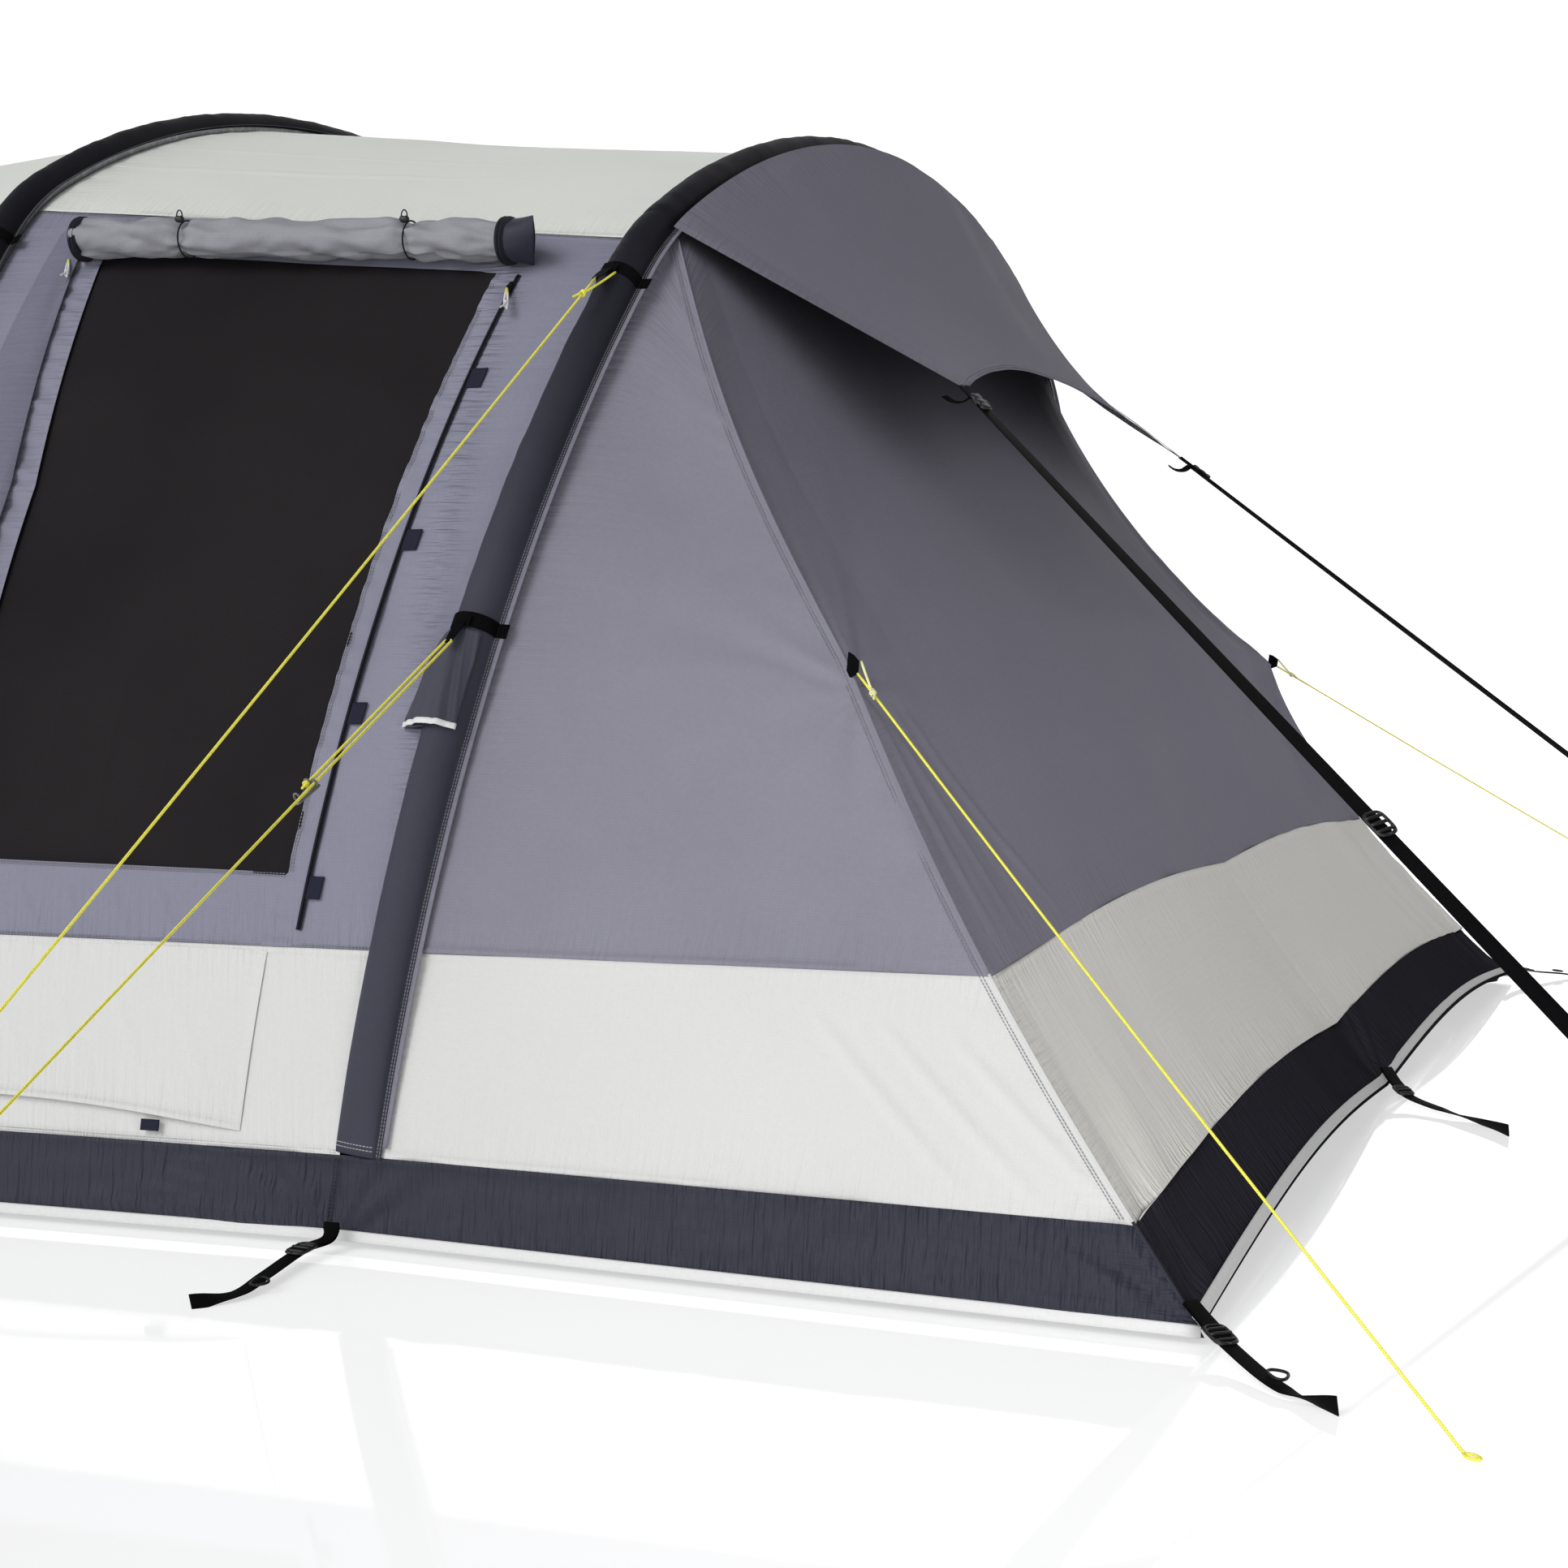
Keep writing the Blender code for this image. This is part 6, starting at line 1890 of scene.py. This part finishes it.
def make_runner():
    """The guyline's triangular runner: a tapered plate with an eye at each corner."""
    along = unit(SIDE_PEG - MIDDLE_START)
    up = square_up(along)
    side = np.cross(up, along)
    place = RUNNER - Z * 0.0085
    t = np.linspace(-0.024, 0.024, 13)
    sizes = np.interp(t, [-0.024, -0.021, 0.021, 0.024], [0.92, 1.0, 0.50, 0.40])
    plate = sweep("guyline_runner_plate", place + along * t[:, None], strip(0.022, 0.0040), GREY_PLASTIC, up,
                  sizes, "guyline_runner")
    stands_for("guyline_runner")
    turn = np.linspace(0, 2 * pi, 25)
    for k, (shift, off) in enumerate(((-0.018, -0.006), (-0.018, 0.006), (0.017, 0.0))):
        centre = place + along * shift + side * off + up * 0.0075
        eye = oval(centre, side, up, 0.0046, 0.0060, turn)
        sweep(f"guyline_runner_eye_{k}", eye, ring(0.0016, 7), GREY_PLASTIC, body="guyline_runner")


def make_valves():
    """A ribbed cap on each air beam's valve, on the far side, with its rim below."""
    for arch in ARCHES:
        point, up, out, across = sleeve_place(arch, 0.50, FAR)
        base = SLEEVE_RADIUS + 0.0063
        sweep(f"valve_stem_{arch}", point + out * np.linspace(0.024, base - 0.0006, 5)[:, None],
              ring(0.0108, 24), GREY_PLASTIC)
        t = np.array([0.0, 0.0004, 0.0014, 0.0100, 0.0113, 0.0120])
        sizes = np.array([0.93, 0.985, 1.0, 1.0, 0.96, 0.86])
        ribs = ring(0.0168, 72) * (1 - 0.028 * (np.arange(72) % 3 == 0))[:, None]
        body = f"valve_cap_{arch}"
        cap = sweep(f"{body}_ribbed", point + out * (base + t)[:, None], ribs, GREY_PLASTIC, up, sizes,
                    body, False)
        stands_for(body)
        grip = point + out * (base + 0.0123) + across * np.linspace(-0.010, 0.010, 9)[:, None]
        sizes = [0.5, 0.9, 1, 1, 1, 1, 1, 0.9, 0.5]
        sweep(f"{body}_grip", grip, strip(0.0042, 0.0018), GREY_PLASTIC, out, sizes, body)


def make_foot_seams():
    """Stitched lines down the dark band below each sleeve, and a lighter felled edge on the rear sleeve."""
    for side in (NEAR, FAR):
        for bay, v, shift in ((REAR_BAY, 0.0, 1), (REAR_BAY, 1.0, -1), (FRONT_BAY, 1.0, -1)):
            for off in (0.028, 0.034):
                height = np.linspace(0.03, BAND_TOP, 20)
                line = wall_xyz(bay, v + shift * off / 1.1, height, side, 0.0022)
                stitches(line, [0, side, 0.15], BLACK_THREAD)
    line, out = arch_frame("rear", SLEEVE_FOOT, 200)
    side = unit(np.cross(unit(np.gradient(line, axis=0)), out))
    side = side * np.sign(side[:, :1])
    sweep("sleeve_edge_rear", line + side * 0.0500 - out * 0.0024, strip(0.009, 0.0020), EDGE_TAPE, out)


make_front()
make_groundsheet()
make_guy_bands()
make_pocket()
make_seam_tabs()
make_peg_straps()
make_hood_fittings()
make_runner()
make_valves()
make_foot_seams()
make_stitches()
